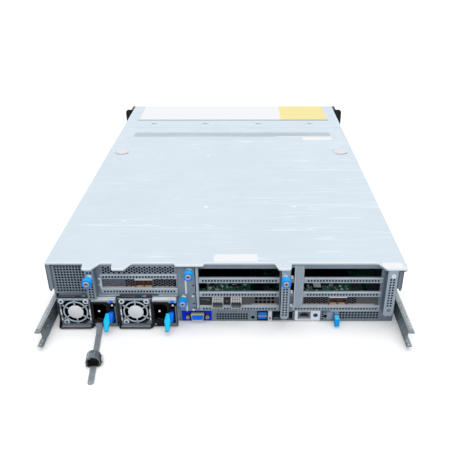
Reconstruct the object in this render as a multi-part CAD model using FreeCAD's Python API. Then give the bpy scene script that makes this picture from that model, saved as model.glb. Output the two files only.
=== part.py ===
"""2U rack server: chassis, sliding cover, riser cages, power supplies, fans and drive carriers.

Frame: +X to the right seen from behind, +Y towards the front of the server, +Z up.
The origin is the centre of the underside of the chassis. Millimetres throughout.
"""
import FreeCAD
import Part
import math
import os

V = FreeCAD.Vector

# ---------------------------------------------------------------- overall
rack_width = 482.6         # over both rack ears
ear_overhang = 27.3        # each ear reaches this far past its side wall
cover_overhang = 5.0       # the cover's flange stands this far outside the side wall
body_depth = 705.0         # rear edge of the cover to the front edge of the front top panel
body_height = 87.0
sheet = 1.2                # steel of the chassis, cages and panels
cover_sheet = 1.2
seat_gap = 0.1             # left between cover and what it slides on
slide_gap = 0.3            # left round everything that slides in and out
rest_gap = 0.1             # left under what slides on a floor
round_sides = 20           # flats that stand in for a round edge of a sheet or a knob
rear = -body_depth / 2
front = body_depth / 2
half_chassis = rack_width / 2 - ear_overhang
half_cover = half_chassis + cover_overhang
half_inside = half_chassis - sheet
cover_z = body_height - cover_sheet
cage_top = cover_z - sheet - seat_gap

# ---------------------------------------------------------------- chassis
wall_flange = 4.0          # inward fold along the top of each side wall
rear_panel_set = 2.0       # rear panels stand this far inside the cover's edge
panel_in = rear_panel_set + sheet
board_height = 6.0         # underside of the main board above the table
boss_size = 8.0
stud_radius = 4.0
stud_inset = (40.0, 320.0, body_depth - 105.0)

# ---------------------------------------------------------------- drives
drive_columns = 4
drive_rows = 2
bay_wall = 2.6             # upright wall between two bays
bay_side = 0.3             # more wall than that at each side of the cage
bay_height = 26.4
bay_pitch_z = 27.6
bay_foot = 2.6
carrier_proud = 4.0
carrier_face = 14.0
drive_length = 147.0
plug_length = 12.0         # connectors between the backplane and a drive
drive_cage_set = body_depth + carrier_proud - carrier_face - drive_length
bay_pitch_x = (2 * half_inside - bay_wall - 2 * bay_side) / drive_columns
bay_width = bay_pitch_x - bay_wall

# ---------------------------------------------------------------- fans
fan_count = 4
fan_rim = 3.65             # least wall over and under a fan's bore
fan_blade_gap = 2.0
fan_hub = 18.0
fan_axle = 4.0
fan_blades = 5
fan_thickness = 38.0
fan_to_drives = 70.0
fan_bore = (cage_top - sheet) / 2 - fan_rim
fan_blade = fan_bore - fan_blade_gap
fan_set = drive_cage_set - fan_to_drives - fan_thickness

# ---------------------------------------------------------------- main board
board_clear = 15.0         # between the main board and the fans
stick_width = 3.2
stick_pitch = 9.5
stick_height = 34.0
stick_length = 133.0
stick_clear = 24.0         # from the board's front edge to the memory modules
side_sticks = 4            # modules in each outer group; the middle group has twice as many
side_sticks_in = 27.0      # from the side wall to the outermost module
sink_width = 78.0
sink_length = 95.0
sink_height = 62.0
sink_clear = 45.0
sink_fins = 8
board_front = fan_set - board_clear

# ---------------------------------------------------------------- top cover
seam_gap = 0.8
seam_lap = 3.0             # the front top panel reaches this far behind the drive cage
seam_set = drive_cage_set - seam_lap
tongue_reach = 15.0
short_tongue_reach = 6.0
cover_flange_foot = 44.0   # lower edge of the cover's side flanges
cover_return = 6.0         # rear fold of each side flange
button_radius = 12.0
button_in = 23.5           # from the cover's side to the middle of a button
button_to_seam = 144.0
button_set = (half_cover - button_in, seam_set - button_to_seam)
button_rise = 1.2
button_travel = 2.5
vent_to_seam = 55.0
vent_row_pitch = 9.0
vent_hole = 6.0
vent_pitch = 24.8
vent_margin = 33.0

# ---------------------------------------------------------------- card slots
slot_pitch = 20.32
slot_height = 12.4
first_slot = 26.2          # foot of the lowest slot of the middle and right cages
left_slot = 52.0           # foot of the slot of the left cage
cage_foot = 17.3           # the middle and right cages stand on the rear input and output panel
cage_depth = 175.0
cage_rim = 4.0             # least sheet over a slot
cage_proud = 9.5           # module cages stand this far behind the slot
bracket_proud = 14.0       # perforated screw brackets stand this far behind the cages
hole = 3.0                 # square punched hole
hole_pitch = 5.4
hex_radius = 2.4
hex_pitch = 5.4
card_plate = 0.9
board_thickness = 1.6
card_height = 64.4         # low-profile card, edge connector to top edge
card_length = 150.0

# ---------------------------------------------------------------- power supplies
psu_height = 39.8
psu_length = 185.0
psu_gap = 1.8              # between the two power supplies
psu_to_wall = 3.3          # from the side wall to the outer power supply
psu_foot = sheet + 0.2
psu_fan_face = 8.0         # the fan's face stands this far behind the cover's edge
psu_inlet_face = 11.5
psu_fan_rim = 1.0          # least wall over and under the fan's bore
psu_blade_gap = 1.1
psu_fan_hub = 9.0
psu_fan_axle = 3.0
psu_lip = 9.0
lip_rise = 10.0             # height of the lip's cheeks where they meet the fan's face
lip_sheet = 1.0
guard_rim = 1.6
guard_margin = 1.0
guard_plate = 1.0
guard_bar = 1.3
guard_ring = 14.0
guard_hub = 9.4
inlet_size = (20.5, 28.7)
inlet_gap = 0.2            # between the fan's part of the case and the inlet
inlet_foot = 7.7
inlet_proud = 1.0
inlet_depth = 18.0
inlet_cavity = (16.4, 23.8)
latch_zone = 9.8           # strip to the right of the inlet
latch_gap = 3.3            # from the inlet to the middle of the latch
latch_foot = 8.4
latch_height = 13.8
latch_reach = 19.5
latch_barrel = 2.5
pin_radius = 1.2
pin_gap = 0.07
bay_roof = 1.0
bay_depth = 190.0
psu_fan_bore = psu_height / 2 - psu_fan_rim
psu_fan_blade = psu_fan_bore - psu_blade_gap
guard_size = 2 * (psu_fan_bore + guard_rim)
psu_fan_zone = guard_size + 2 * guard_margin
psu_fan_in = guard_size / 2 + 1.1 * guard_margin
inlet_in = psu_fan_zone + inlet_gap
latch_in = inlet_in + inlet_size[0] + latch_gap
psu_width = inlet_in + inlet_size[0] + latch_zone
psu_pitch = psu_width + psu_gap
psu_left = psu_to_wall - half_inside
psu_top = psu_foot + psu_height
bay_top = psu_top + slide_gap + bay_roof
bay_end = psu_left + 2 * psu_width + psu_gap + slide_gap + bay_roof

# ---------------------------------------------------------------- places across the rear
cage_gap = 0.3
left_frame = 7.0           # sheet left of the left cage's slot
left_bracket_width = 10.4
vent_panel_clear = 3.8     # from the vent panel's holes to the left bracket
middle_frame = 26.0        # sheet left of the middle cage's slots, with both screws
middle_line_set = 1.05     # the middle bracket stands this far left of the middle of the row
middle_bracket_width = 9.9
right_bracket_width = 11.9
right_side_in = 5.8
right_frame = 19.7         # sheet left of the right cage's slots
rows_left = bay_end + 0.4
right_side = half_chassis - right_side_in
middle_line = (rows_left + right_side) / 2 - middle_line_set
left_cage = (psu_left + 50.5, bay_end - 0.1)
left_bracket = (left_cage[0] - left_bracket_width + sheet, left_cage[0] + sheet)
left_window = (left_cage[0] + left_frame, left_cage[1] - sheet)
middle_bracket = (middle_line - middle_bracket_width / 2, middle_line + middle_bracket_width / 2)
middle_bracket_foot = 13.8
middle_cage = (rows_left, middle_bracket[0] - cage_gap)
middle_window = (rows_left + middle_frame, middle_cage[1] - sheet)
right_bracket = (right_side - right_bracket_width, right_side)
right_bracket_foot = 18.4
right_cage = (middle_bracket[1] - sheet, right_bracket[0] + sheet)
right_window = (right_cage[0] + right_frame, right_cage[1] - 5.5)
slot_rows = math.floor((cage_top - cage_rim - first_slot - slot_height) / slot_pitch) + 1

# ---------------------------------------------------------------- thumbscrews
screw_radius = 5.8
screw_length = 15.5
screw_shank = 1.75
screw_shank_length = 11.0
screw_shank_gap = 0.3
left_screw = (left_bracket[0] + 4.8, cage_top - 10.0)
middle_upper_screw = (rows_left + 14.8, cage_top - 8.5)
middle_lower_screw = (rows_left + 6.2, 36.6)
right_screw = (middle_line - 0.35, cage_top - 10.1)

# ---------------------------------------------------------------- rear input and output row
display_plate = (rows_left + 3.0, rows_left + 40.5, 2.0, 15.8)
display_shell = (rows_left + 14.5, rows_left + 31.5, 4.6, 14.4)
jack_spacing = 25.0
io_vents = (rows_left + 47.8, middle_line - 46.35, 4.9, 11.3)
io_hole = (middle_line - 39.05, 5.5, 2.5)
usb_box = (middle_line - 33.55, middle_line - 20.35, 1.9, 15.9)
lan_box = (middle_line + 18.45, middle_line + 34.45, 3.4, 14.8)
corner_hole = (half_chassis - 6.5, 8.0, 2.3)
id_button_at = (middle_line + 40.95, 9.0)
id_button_radius = 2.6
id_button_travel = 1.5
port_depth = 17.0
service_opening = (middle_line - 14.55, middle_line + 13.45, 1.2, 15.0)
module_opening = (middle_line + 47.75, right_bracket[0] - 0.4, 1.2, 16.0)
module_depth = 95.0
lever_at = module_opening[0] + 19.0
lever_width = 6.0
lever_reach = 14.8
lever_height = 11.4
lever_pin = 0.9
lever_barrel = 1.9

# ---------------------------------------------------------------- cable strap
strap_width = 7.0
strap_thickness = 1.3
strap_length = 109.0
strap_root = psu_left + 50.3
strap_turn = 6.2           # degrees, towards the middle of the server
strap_rise = 3.0
clamp_out = 72.0           # middle of the clamp from the strap's root
clamp_length = 14.0
clamp_radius = 8.4
clamp_wall = 1.5

# ---------------------------------------------------------------- rack ears
rack_hole_in = 8.75        # rack hole from the ear's outer side
rack_hole_radius = 3.4
ear_set = 7.0              # the ears end this far below the top
ear_plate = 3.0
ear_foot = 6.0
ear_top = body_height - ear_set
front_flange_foot = ear_top + slide_gap
ear_reach = 28.0
ear_column = 15.0
power_button_radius = 4.5
power_button_travel = 1.5

# ---------------------------------------------------------------- inner slide rails
rail_sheet = 1.3
rail_stand_off = 3.5
rail_foot = 4.3
rail_height = 22.0
rail_flange = 5.2
rail_tail = 53.0           # the rail ends this far behind the cover's edge
rail_to_front = 65.0


# ---------------------------------------------------------------- helpers
def box(x0, x1, y0, y1, z0, z1):
    return Part.makeBox(x1 - x0, y1 - y0, z1 - z0, V(x0, y0, z0))


def rod(x, y, z, radius, length, axis=V(0, 1, 0)):
    return Part.makeCylinder(radius, length, V(x, y, z), axis)


def ring_of(points):
    return Part.makePolygon(points + [points[0]])


def outline_xz(pairs, y):
    return ring_of([V(x, y, z) for x, z in pairs])


def outline_xy(pairs, z):
    return ring_of([V(x, y, z) for x, y in pairs])


def regular(x, z, radius, sides, turn=0.0):
    angles = [turn + 2 * math.pi * k / sides for k in range(sides)]
    return [(x + radius * math.cos(a), z + radius * math.sin(a)) for a in angles]


def square(x, z, side=hole):
    return regular(x, z, side / math.sqrt(2), 4, math.pi / 4)


def rectangle(x0, x1, z0, z1):
    return [(x0, z0), (x1, z0), (x1, z1), (x0, z1)]


def plate_xz(outline, holes, y, thickness):
    """A sheet standing across Y, with its holes punched."""
    wires = [outline_xz(outline, y)] + [outline_xz(h, y) for h in holes]
    face = Part.makeFace(wires, "Part::FaceMakerBullseye")
    return face.extrude(V(0, thickness, 0))


def plate_xy(outline, holes, z, thickness):
    """A sheet lying flat, with its holes punched."""
    wires = [outline_xy(outline, z)] + [outline_xy(h, z) for h in holes]
    face = Part.makeFace(wires, "Part::FaceMakerBullseye")
    return face.extrude(V(0, 0, thickness))


def punched(x0, x1, z0, z1, pitch=hole_pitch):
    """Square holes at one pitch, centred in the given field."""
    across = math.floor((x1 - x0) / pitch + 1e-6) + 1
    up = math.floor((z1 - z0) / pitch + 1e-6) + 1
    first_x = (x0 + x1 - (across - 1) * pitch) / 2
    first_z = (z0 + z1 - (up - 1) * pitch) / 2
    return [square(first_x + i * pitch, first_z + j * pitch)
            for i in range(across) for j in range(up)]


def honeycomb(x0, x1, z0, z1):
    """Hexagonal holes in staggered rows, kept inside the given field."""
    row_pitch = hex_pitch * math.sqrt(3) / 2
    rows = math.floor((z1 - z0 - 2 * hex_radius) / row_pitch + 1e-6) + 1
    across = math.floor((x1 - x0 - 2 * hex_radius) / hex_pitch + 1e-6) + 1
    cells = []
    for j in range(rows):
        z = z0 + hex_radius + j * row_pitch
        for i in range(across - j % 2):
            x = x0 + hex_radius + (i + 0.5 * (j % 2)) * hex_pitch
            cells.append(regular(x, z, hex_radius, 6, math.pi / 6))
    return cells


def joined(shapes):
    whole = shapes[0].fuse(shapes[1:]) if len(shapes) > 1 else shapes[0]
    return whole.removeSplitter()


def mirrored(shape):
    return shape.mirror(V(0, 0, 0), V(1, 0, 0))


# ---------------------------------------------------------------- chassis
def chassis_base():
    top = cover_z
    outer = half_chassis
    inner = half_inside
    lip = half_chassis - wall_flange
    profile = [(-outer, 0), (outer, 0), (outer, top), (lip, top), (lip, top - sheet),
               (inner, top - sheet), (inner, sheet), (-inner, sheet), (-inner, top - sheet),
               (-lip, top - sheet), (-lip, top), (-outer, top)]
    pan = plate_xz(profile, [], rear + panel_in, body_depth - panel_in)
    extras = []
    for x in (rows_left + 19, middle_line + 26.45, half_inside - 7.8):
        for d in (130.0, 250.0, board_front - 25):
            extras.append(box(x - boss_size / 2, x + boss_size / 2, rear + d - boss_size / 2,
                              rear + d + boss_size / 2, 0, board_height))
    middle = rail_foot + rail_height / 2
    for d in stud_inset:
        for side in (-1, 1):
            outline = [V(side * outer, rear + d + y, middle + z) for y, z in regular(0, 0, stud_radius, 8)]
            extras.append(Part.Face(ring_of(outline)).extrude(V(side * rail_stand_off, 0, 0)))
    return joined([pan] + extras)


def inner_rail():
    """Right-hand inner slide rail; the left-hand one is its mirror image."""
    web = half_chassis + rail_stand_off
    tail = rear - rail_tail
    nose = front - rail_to_front
    foot = rail_foot
    head = rail_foot + rail_height
    points = [V(web, tail - 6, head), V(web, nose, head), V(web, nose, foot),
              V(web, tail - 4.5, foot)]
    dent = Part.Arc(points[3], V(web, tail + 1.5, (foot + head) / 2), points[0]).toShape()
    points += dent.discretize(7)[1:-1]
    middle = (foot + head) / 2
    hole_rim = [V(web, rear - 30 + a, middle + b) for a, b in regular(0, 0, 1.8, 8)]
    side = Part.makeFace([ring_of(points), ring_of(hole_rim)], "Part::FaceMakerBullseye")
    side = side.extrude(V(rail_sheet, 0, 0))
    edge = web + rail_sheet + rail_flange
    flanges = [box(web, edge, tail - 6, nose, head - rail_sheet, head),
               box(web, edge, tail - 4.5, nose, foot, foot + rail_sheet)]
    rims = [ring_of([V(web, tail - 4.4 + a, foot + 2.6 + b) for a, b in regular(0, 0, radius, 12)])
            for radius in (2.6, 1.4)]
    curl = Part.Face(rims[0]).extrude(V(rail_sheet + 1.6, 0, 0))
    bore = Part.Face(rims[1]).extrude(V(rail_sheet + 1.6, 0, 0))
    return joined([side, curl] + flanges).cut(bore)


# ---------------------------------------------------------------- rear panels
def rear_io_panel():
    edge = half_chassis - 1.0
    outline = rectangle(middle_cage[0], edge, 0, cage_foot)
    cuts = [rectangle(*display_shell),
            rectangle(*usb_box),
            rectangle(*service_opening),
            rectangle(*lan_box),
            rectangle(*module_opening),
            regular(*io_hole, 12),
            regular(*corner_hole, 12),
            regular(id_button_at[0], id_button_at[1], id_button_radius + slide_gap, 16)]
    cuts += punched(*io_vents)
    panel = plate_xz(outline, cuts, rear + rear_panel_set, sheet)
    shelf = box(middle_cage[0], half_inside - 5, rear + panel_in, rear + panel_in + 9,
                cage_foot - sheet, cage_foot)
    return joined([panel, shelf])


def rear_vent_panel():
    edge = half_chassis - 0.2
    outline = rectangle(-edge, left_bracket[1] - 2.4, bay_top + 0.1, cage_top)
    field = punched(4.3 - edge, left_bracket[0] - vent_panel_clear, bay_top + 3.5, cage_top - 3.75)
    field.append(regular(left_screw[0], left_screw[1], screw_shank + screw_shank_gap, 16))
    return plate_xz(outline, field, rear + rear_panel_set, sheet)


def psu_bay():
    """Roof, divider and side wall that the two power supplies slide between."""
    inner = bay_end - bay_roof
    roof_foot = bay_top - bay_roof
    tabs = [(psu_left + psu_fan_zone + 8 + k * psu_pitch, psu_left + psu_width + 4 + k * psu_pitch)
            for k in range(2)]
    left_tab, right_tab = tabs
    back = rear + panel_in
    out = rear - 3.2
    outline = [(-half_inside, back), (left_tab[0], back), (left_tab[0], out), (left_tab[1], out),
               (left_tab[1], back), (right_tab[0], back), (right_tab[0], out),
               (inner + bay_roof, out), (inner + bay_roof, rear + bay_depth),
               (-half_inside, rear + bay_depth)]
    roof = plate_xy(outline, [], roof_foot, bay_roof)
    divider_x = psu_left + psu_width + (psu_pitch - psu_width - bay_roof) / 2
    divider = box(divider_x, divider_x + bay_roof, back, rear + bay_depth, sheet, roof_foot)
    side = box(inner, inner + bay_roof, back, rear + bay_depth, sheet, roof_foot)
    return joined([roof, divider, side])


# ---------------------------------------------------------------- riser cages
def slot_window(window, foot):
    return rectangle(window[0], window[1], foot, foot + slot_height)


def bracket(span, foot, wall_side, fields, screw):
    """Perforated channel that stands proud of a cage and carries its thumbscrew."""
    holes = []
    for z0, z1 in fields:
        middle = (span[0] + span[1]) / 2
        holes += punched(middle - hole_pitch / 2, middle + hole_pitch / 2, z0, z1)
    if screw:
        holes.append(regular(screw[0], screw[1], screw_shank + screw_shank_gap, 16))
    plate = plate_xz(rectangle(span[0], span[1], foot, cage_top), holes, rear - bracket_proud, sheet)
    x = span[0] if wall_side < 0 else span[1] - sheet
    wall = box(x, x + sheet, rear - bracket_proud, rear + sheet, foot, cage_top)
    return [plate, wall]


def riser_cage_left():
    outline = rectangle(left_cage[0], left_cage[1], bay_top, cage_top)
    cuts = [slot_window(left_window, left_slot)]
    cuts += honeycomb(left_window[0], left_window[1], left_slot + slot_height + 8.2, cage_top - 0.8)
    face = plate_xz(outline, cuts, rear, sheet)
    fields = [(bay_top + 3.5, cage_top - 24), (cage_top - 5, cage_top - 4.5)]
    parts = bracket(left_bracket, bay_top, 1, fields, left_screw)
    wall = box(left_cage[1] - sheet, left_cage[1], rear, rear + cage_depth, bay_top, cage_top)
    shelf = box(left_cage[0], left_cage[1], rear, rear + 14, bay_top, bay_top + sheet)
    return joined([face, wall, shelf] + parts)


def riser_cage_middle():
    outline = rectangle(middle_cage[0], middle_cage[1], cage_foot, cage_top)
    cuts = [slot_window(middle_window, first_slot + k * slot_pitch) for k in range(slot_rows)]
    for at in (middle_upper_screw, middle_lower_screw):
        cuts.append(regular(at[0], at[1], screw_shank + screw_shank_gap, 16))
    face = plate_xz(outline, cuts, rear, sheet)
    clear = screw_radius + 1
    lower = middle_lower_screw[1]
    x = middle_cage[0] + 9.4
    ridges = [box(x, x + 1.4, rear - 1.2, rear, cage_foot, lower - clear),
              box(x, x + 1.4, rear - 1.2, rear, lower + clear, middle_upper_screw[1] - clear)]
    wall_x = middle_window[0] - 3.8
    wall = box(wall_x - sheet, wall_x, rear, rear + cage_depth, cage_foot, cage_top)
    shelf = box(middle_cage[0], middle_cage[1], rear, rear + 14, cage_foot, cage_foot + sheet)
    return joined([face, wall, shelf] + ridges)


def riser_cage_right():
    outline = rectangle(right_cage[0], right_cage[1], cage_foot, cage_top)
    cuts = [slot_window(right_window, first_slot + k * slot_pitch) for k in range(slot_rows)]
    for k in range(slot_rows):
        foot = first_slot + k * slot_pitch
        cuts.append(rectangle(right_cage[0] + 3.3, right_cage[0] + 7.9, foot - 1.5, foot + slot_height + 1.5))
    face = plate_xz(outline, cuts, rear, sheet)
    wall_x = right_window[0] - 3.8
    wall = box(wall_x - sheet, wall_x, rear, rear + cage_depth, cage_foot, cage_top)
    shelf = box(right_cage[0], right_cage[1], rear, rear + 14, cage_foot, cage_foot + sheet)
    parts = bracket(middle_bracket, middle_bracket_foot, 1, [(18.6, cage_top - 24.6)], right_screw)
    parts += bracket(right_bracket, right_bracket_foot, -1, [(32.1, cage_top - 15)], None)
    return joined([face, wall, shelf] + parts)


def riser_boards():
    """Upright boards on the cage walls that the cards plug into."""
    boards = []
    y0 = rear + 12
    y1 = rear + cage_depth - 10
    for x, foot in ((left_cage[1] - sheet - board_thickness, bay_top + 3),
                    (middle_window[0] - 3.8, cage_foot + 3),
                    (right_window[0] - 3.8, cage_foot + 3)):
        boards.append(box(x, x + board_thickness, y0, y1, foot, cage_top - 2))
    return Part.makeCompound(boards)


def thumbscrew(at, face_y):
    """Slotted knob with a plain shank; its knurled rim is a ring of flats."""
    x, z = at
    tip = face_y - screw_length
    head = plate_xz(regular(x, z, screw_radius, round_sides), [], tip, screw_length)
    slot = box(x - screw_radius + 2.2, x + screw_radius - 2.2, tip, tip + 1.6, z - 0.7, z + 0.7)
    shank = plate_xz(regular(x, z, screw_shank, 12), [], face_y, screw_shank_length)
    return joined([head.cut(slot), shank])


# ---------------------------------------------------------------- cards
def network_card(root_x, side, window, slot, board_above):
    """Card with a two-port jack block; root_x is the edge that plugs into the riser board."""
    z0 = slot - 1.0
    z1 = slot + slot_height + 1.0
    y = rear + sheet
    jack = sorted((root_x + side * 35.2, root_x + side * 56.8))
    block_foot = slot + 0.2
    block_top = slot + slot_height - 0.2
    far = window[1] + 3.0 if side > 0 else window[0] - 3.0
    plate_ends = sorted((root_x, far))
    jack_hole = rectangle(jack[0], jack[1], block_foot, block_top)
    plate = plate_xz(rectangle(plate_ends[0], plate_ends[1], z0, z1), [jack_hole], y, card_plate)
    edge = sorted((root_x, root_x + side * card_height))
    board_z = z1 - board_thickness if board_above else z0
    board = box(edge[0], edge[1], y + card_plate, y + card_plate + card_length, board_z,
                board_z + board_thickness)
    block = box(jack[0], jack[1], rear - 0.8, rear + 20, block_foot, block_top)
    width = (jack[1] - jack[0] - 3.0) / 2
    for k in range(2):
        x = jack[0] + 1.0 + k * (width + 1.0)
        block = block.cut(box(x, x + width, rear - 0.8, rear + 13, block_foot + 1.4, block_top - 1.6))
    return joined([plate, board, block])


def optical_card():
    """Low-profile card with two metal module cages that stand out of its bracket."""
    z0 = first_slot - 1.0
    z1 = first_slot + slot_height + 1.0
    y = rear + sheet
    root = middle_window[0] - 3.8 + board_thickness
    cages = [(middle_window[0] + a, middle_window[0] + a + 13.8) for a in (16.4, 39.4)]
    foot = first_slot + 0.2
    holes = [rectangle(a, b, foot, first_slot + slot_height - 1.0) for a, b in cages]
    vents_from = cages[1][1] + 18.8
    for k in range(int((middle_window[1] - 6.4 - vents_from) / hex_pitch) + 1):
        for z in (first_slot + 4.0, first_slot + 10.0):
            holes.append(regular(vents_from + hex_pitch * k, z, 1.9, 6))
    plate = plate_xz(rectangle(middle_window[0] - 0.6, middle_cage[1] - 0.2, z0, z1), holes, y, card_plate)
    board = box(root, root + card_height, y + card_plate, y + card_plate + card_length,
                z1 - board_thickness, z1)
    parts = [plate, board]
    for a, b in cages:
        top = z1 - board_thickness
        cage = box(a, b, rear - cage_proud, rear + 45, foot, first_slot + slot_height - 1.0)
        cage = cage.cut(box(a + 0.7, b - 0.7, rear - cage_proud, rear + 38, foot + 0.8,
                            first_slot + slot_height - 1.8))
        riser = box(a, b, y + card_plate, rear + 45, first_slot + slot_height - 1.0, top)
        parts += [cage, riser]
    return joined(parts)


# ---------------------------------------------------------------- power supplies
def psu_housing(x0):
    back = rear - psu_inlet_face + psu_length
    z0 = psu_foot
    z1 = psu_top
    face = rear - psu_fan_face
    lip = face - psu_lip
    body = joined([
        box(x0, x0 + psu_fan_zone, face, back, z0, z1),
        box(x0 + psu_fan_zone, x0 + psu_width, rear - psu_inlet_face, back, z0, z1),
        box(x0, x0 + psu_fan_zone, lip, face - guard_plate - 0.1, z0, z0 + lip_sheet)])
    cheek = [V(0, lip, z0), V(0, face, z0), V(0, face, z0 + lip_rise), V(0, lip, z0 + lip_sheet)]
    cheek = Part.Face(ring_of(cheek)).extrude(V(lip_sheet, 0, 0))
    body = joined([body, cheek.translated(V(x0, 0, 0)),
                   cheek.translated(V(x0 + psu_fan_zone - lip_sheet, 0, 0))])
    fan_x = x0 + psu_fan_in
    fan_z = z0 + psu_height / 2
    bore = plate_xz(regular(fan_x, fan_z, psu_fan_bore, round_sides), [], face, 28)
    body = body.cut(bore)
    post = plate_xz(regular(fan_x, fan_z, psu_fan_axle, 12), [], rear + 4, 28 - psu_fan_face - 4)
    socket = box(x0 + inlet_in, x0 + inlet_in + inlet_size[0], rear - psu_inlet_face,
                 rear - psu_inlet_face + inlet_depth, z0 + inlet_foot, z0 + inlet_foot + inlet_size[1])
    latch_x = x0 + latch_in
    foot = z0 + latch_foot
    pocket = box(latch_x - 3.2, latch_x + 3.2, rear - psu_inlet_face, rear - psu_inlet_face + 6.4,
                 foot - 0.4, foot + latch_height + 0.4)
    pin = upright_pin(latch_x, rear - psu_inlet_face + 3, foot - 0.4, pin_radius, latch_height + 0.8)
    return joined([body.cut(socket).cut(pocket), post, pin])


def fan_guard(x0):
    """Stamped guard: square frame, one ring, a hub disc and six spokes."""
    x = x0 + psu_fan_in
    z = psu_foot + psu_height / 2
    y = rear - psu_fan_face - guard_plate
    half = guard_size / 2 - 0.1
    tall = psu_height / 2 - 0.2
    chamfer = 3.0
    corners = [(x - half + chamfer, z - tall), (x + half - chamfer, z - tall),
               (x + half, z - tall + chamfer), (x + half, z + tall - chamfer),
               (x + half - chamfer, z + tall), (x - half + chamfer, z + tall),
               (x - half, z + tall - chamfer), (x - half, z - tall + chamfer)]
    frame = plate_xz(corners, [regular(x, z, psu_fan_bore, round_sides)], y, guard_plate)
    ring = plate_xz(regular(x, z, guard_ring + guard_bar, round_sides),
                    [regular(x, z, guard_ring, round_sides)], y, guard_plate)
    hub = plate_xz(regular(x, z, guard_hub, round_sides), [], y, guard_plate)
    spokes = []
    for angle in (33, 90, 147, 213, 270, 327):
        arm = box(x + guard_hub - 1, x + psu_fan_bore + 0.6, y, y + guard_plate,
                  z - guard_bar / 2, z + guard_bar / 2)
        arm.rotate(V(x, y, z), V(0, 1, 0), -angle)
        spokes.append(arm)
    return joined([frame, ring, hub] + spokes)


def axle_bore(x, z, axle, y, length):
    """Twelve-sided bore along Y whose flats clear an axle of the given radius."""
    return plate_xz(regular(x, z, (axle + pin_gap) / math.cos(math.pi / 12), 12), [], y, length)


def upright_pin(x, y, z, radius, length):
    return plate_xy(regular(x, y, radius, 12), [], z, length)


def upright_bore(x, y, z, pin, length):
    """Twelve-sided upright bore whose flats clear a pin of the given radius."""
    return upright_pin(x, y, z, (pin + pin_gap) / math.cos(math.pi / 12), length)


def blades(x, y, z, hub, tip, length, count, pitch_deg):
    """Flat fan blades set at an angle round a hub."""
    made = []
    chord = length / math.cos(math.radians(pitch_deg)) * 0.8
    for k in range(count):
        blade = box(x - 0.6, x + 0.6, y - chord / 2, y + chord / 2, z + hub - 1, z + tip)
        blade.rotate(V(x, y, z), V(0, 0, 1), pitch_deg)
        blade.rotate(V(x, y, z), V(0, 1, 0), k * 360.0 / count)
        made.append(blade)
    return made


def psu_rotor(x0):
    x = x0 + psu_fan_in
    z = psu_foot + psu_height / 2
    start = rear - psu_fan_face + 2.0
    hub = plate_xz(regular(x, z, psu_fan_hub, 2 * fan_blades), [], start, 16)
    hub = hub.cut(axle_bore(x, z, psu_fan_axle, rear + 2, 30))
    return joined([hub] + blades(x, start + 8, z, psu_fan_hub, psu_fan_blade, 14, fan_blades, 35))


def power_inlet(x0):
    """Upright mains inlet with three blades."""
    x1 = x0 + inlet_in
    z1 = psu_foot + inlet_foot
    y = rear - psu_inlet_face
    width, tall = inlet_size
    body = box(x1, x1 + width, y - inlet_proud, y + inlet_depth, z1, z1 + tall)
    cx = x1 + width / 2
    cz = z1 + tall / 2
    w = inlet_cavity[0] / 2
    h = inlet_cavity[1] / 2
    cut = 4.0
    shape = [(cx - w, cz - h), (cx + w - cut, cz - h), (cx + w, cz - h + cut),
             (cx + w, cz + h - cut), (cx + w - cut, cz + h), (cx - w, cz + h)]
    cavity = plate_xz(shape, [], y - inlet_proud, 16)
    pins = []
    for dx, dz in ((-2, -7), (-2, 7), (2.2, 0)):
        pins.append(box(cx + dx - 2, cx + dx + 2, y + 1, y + 16 - inlet_proud, cz + dz - 1, cz + dz + 1))
    return joined([body.cut(cavity)] + pins)


def tapered(root, tip):
    """Solid between two rings with as many points each, its sides made of plane triangles."""
    faces = [Part.Face(ring_of(root)), Part.Face(ring_of(tip))]
    count = len(root)
    for k in range(count):
        n = (k + 1) % count
        faces.append(Part.Face(ring_of([root[k], root[n], tip[k]])))
        faces.append(Part.Face(ring_of([root[n], tip[n], tip[k]])))
    return Part.Solid(Part.Shell(faces))


def psu_latch(x0):
    """Blue release tab, pivoted on an upright pin."""
    x = x0 + latch_in
    y = rear - psu_inlet_face + 3
    foot = psu_foot + latch_foot
    head = foot + latch_height
    barrel = upright_pin(x, y, foot, latch_barrel, latch_height)
    neck_y = rear - psu_inlet_face - 5
    tip_y = rear - psu_inlet_face - latch_reach
    neck = box(x - 1.5, x + 1.5, neck_y, y - 1.5, foot, head)
    root = [V(x - 1.5, neck_y, foot), V(x + 1.5, neck_y, foot), V(x + 1.5, neck_y, head),
            V(x - 1.5, neck_y, head)]
    tip = [V(x - 3.4, tip_y, foot - 5), V(x - 0.4, tip_y, foot - 5), V(x + 1.7, tip_y, head - 2),
           V(x - 6.6, tip_y, head - 2)]
    bore = upright_bore(x, y, foot, pin_radius, latch_height)
    return joined([barrel, neck, tapered(root, tip)]).cut(bore)


# ---------------------------------------------------------------- rear ports
def display_port():
    x0, x1, z0, z1 = display_plate
    y = rear + rear_panel_set
    plate = box(x0, x1, y - 1.2, y, z0, z1)
    a, b, c, d = display_shell
    lean = 1.4
    shell_points = [(a + lean, c), (b - lean, c), (b, d), (a, d)]
    shell = plate_xz(shell_points, [], y - 6.4, 6.4 + 8)
    inner = [(a + lean + 1.0, c + 1.0), (b - lean - 1.0, c + 1.0), (b - 1.4, d - 1.0), (a + 1.4, d - 1.0)]
    shell = shell.cut(plate_xz(inner, [], y - 6.4, 2.5))
    middle = (a + b) / 2
    nuts = []
    for side in (-1, 1):
        nut_x = middle + side * jack_spacing / 2
        nuts.append(plate_xz(regular(nut_x, (c + d) / 2, 2.8, 6), [], y - 6.2, 5.0))
    return joined([plate, shell] + nuts)


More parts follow.
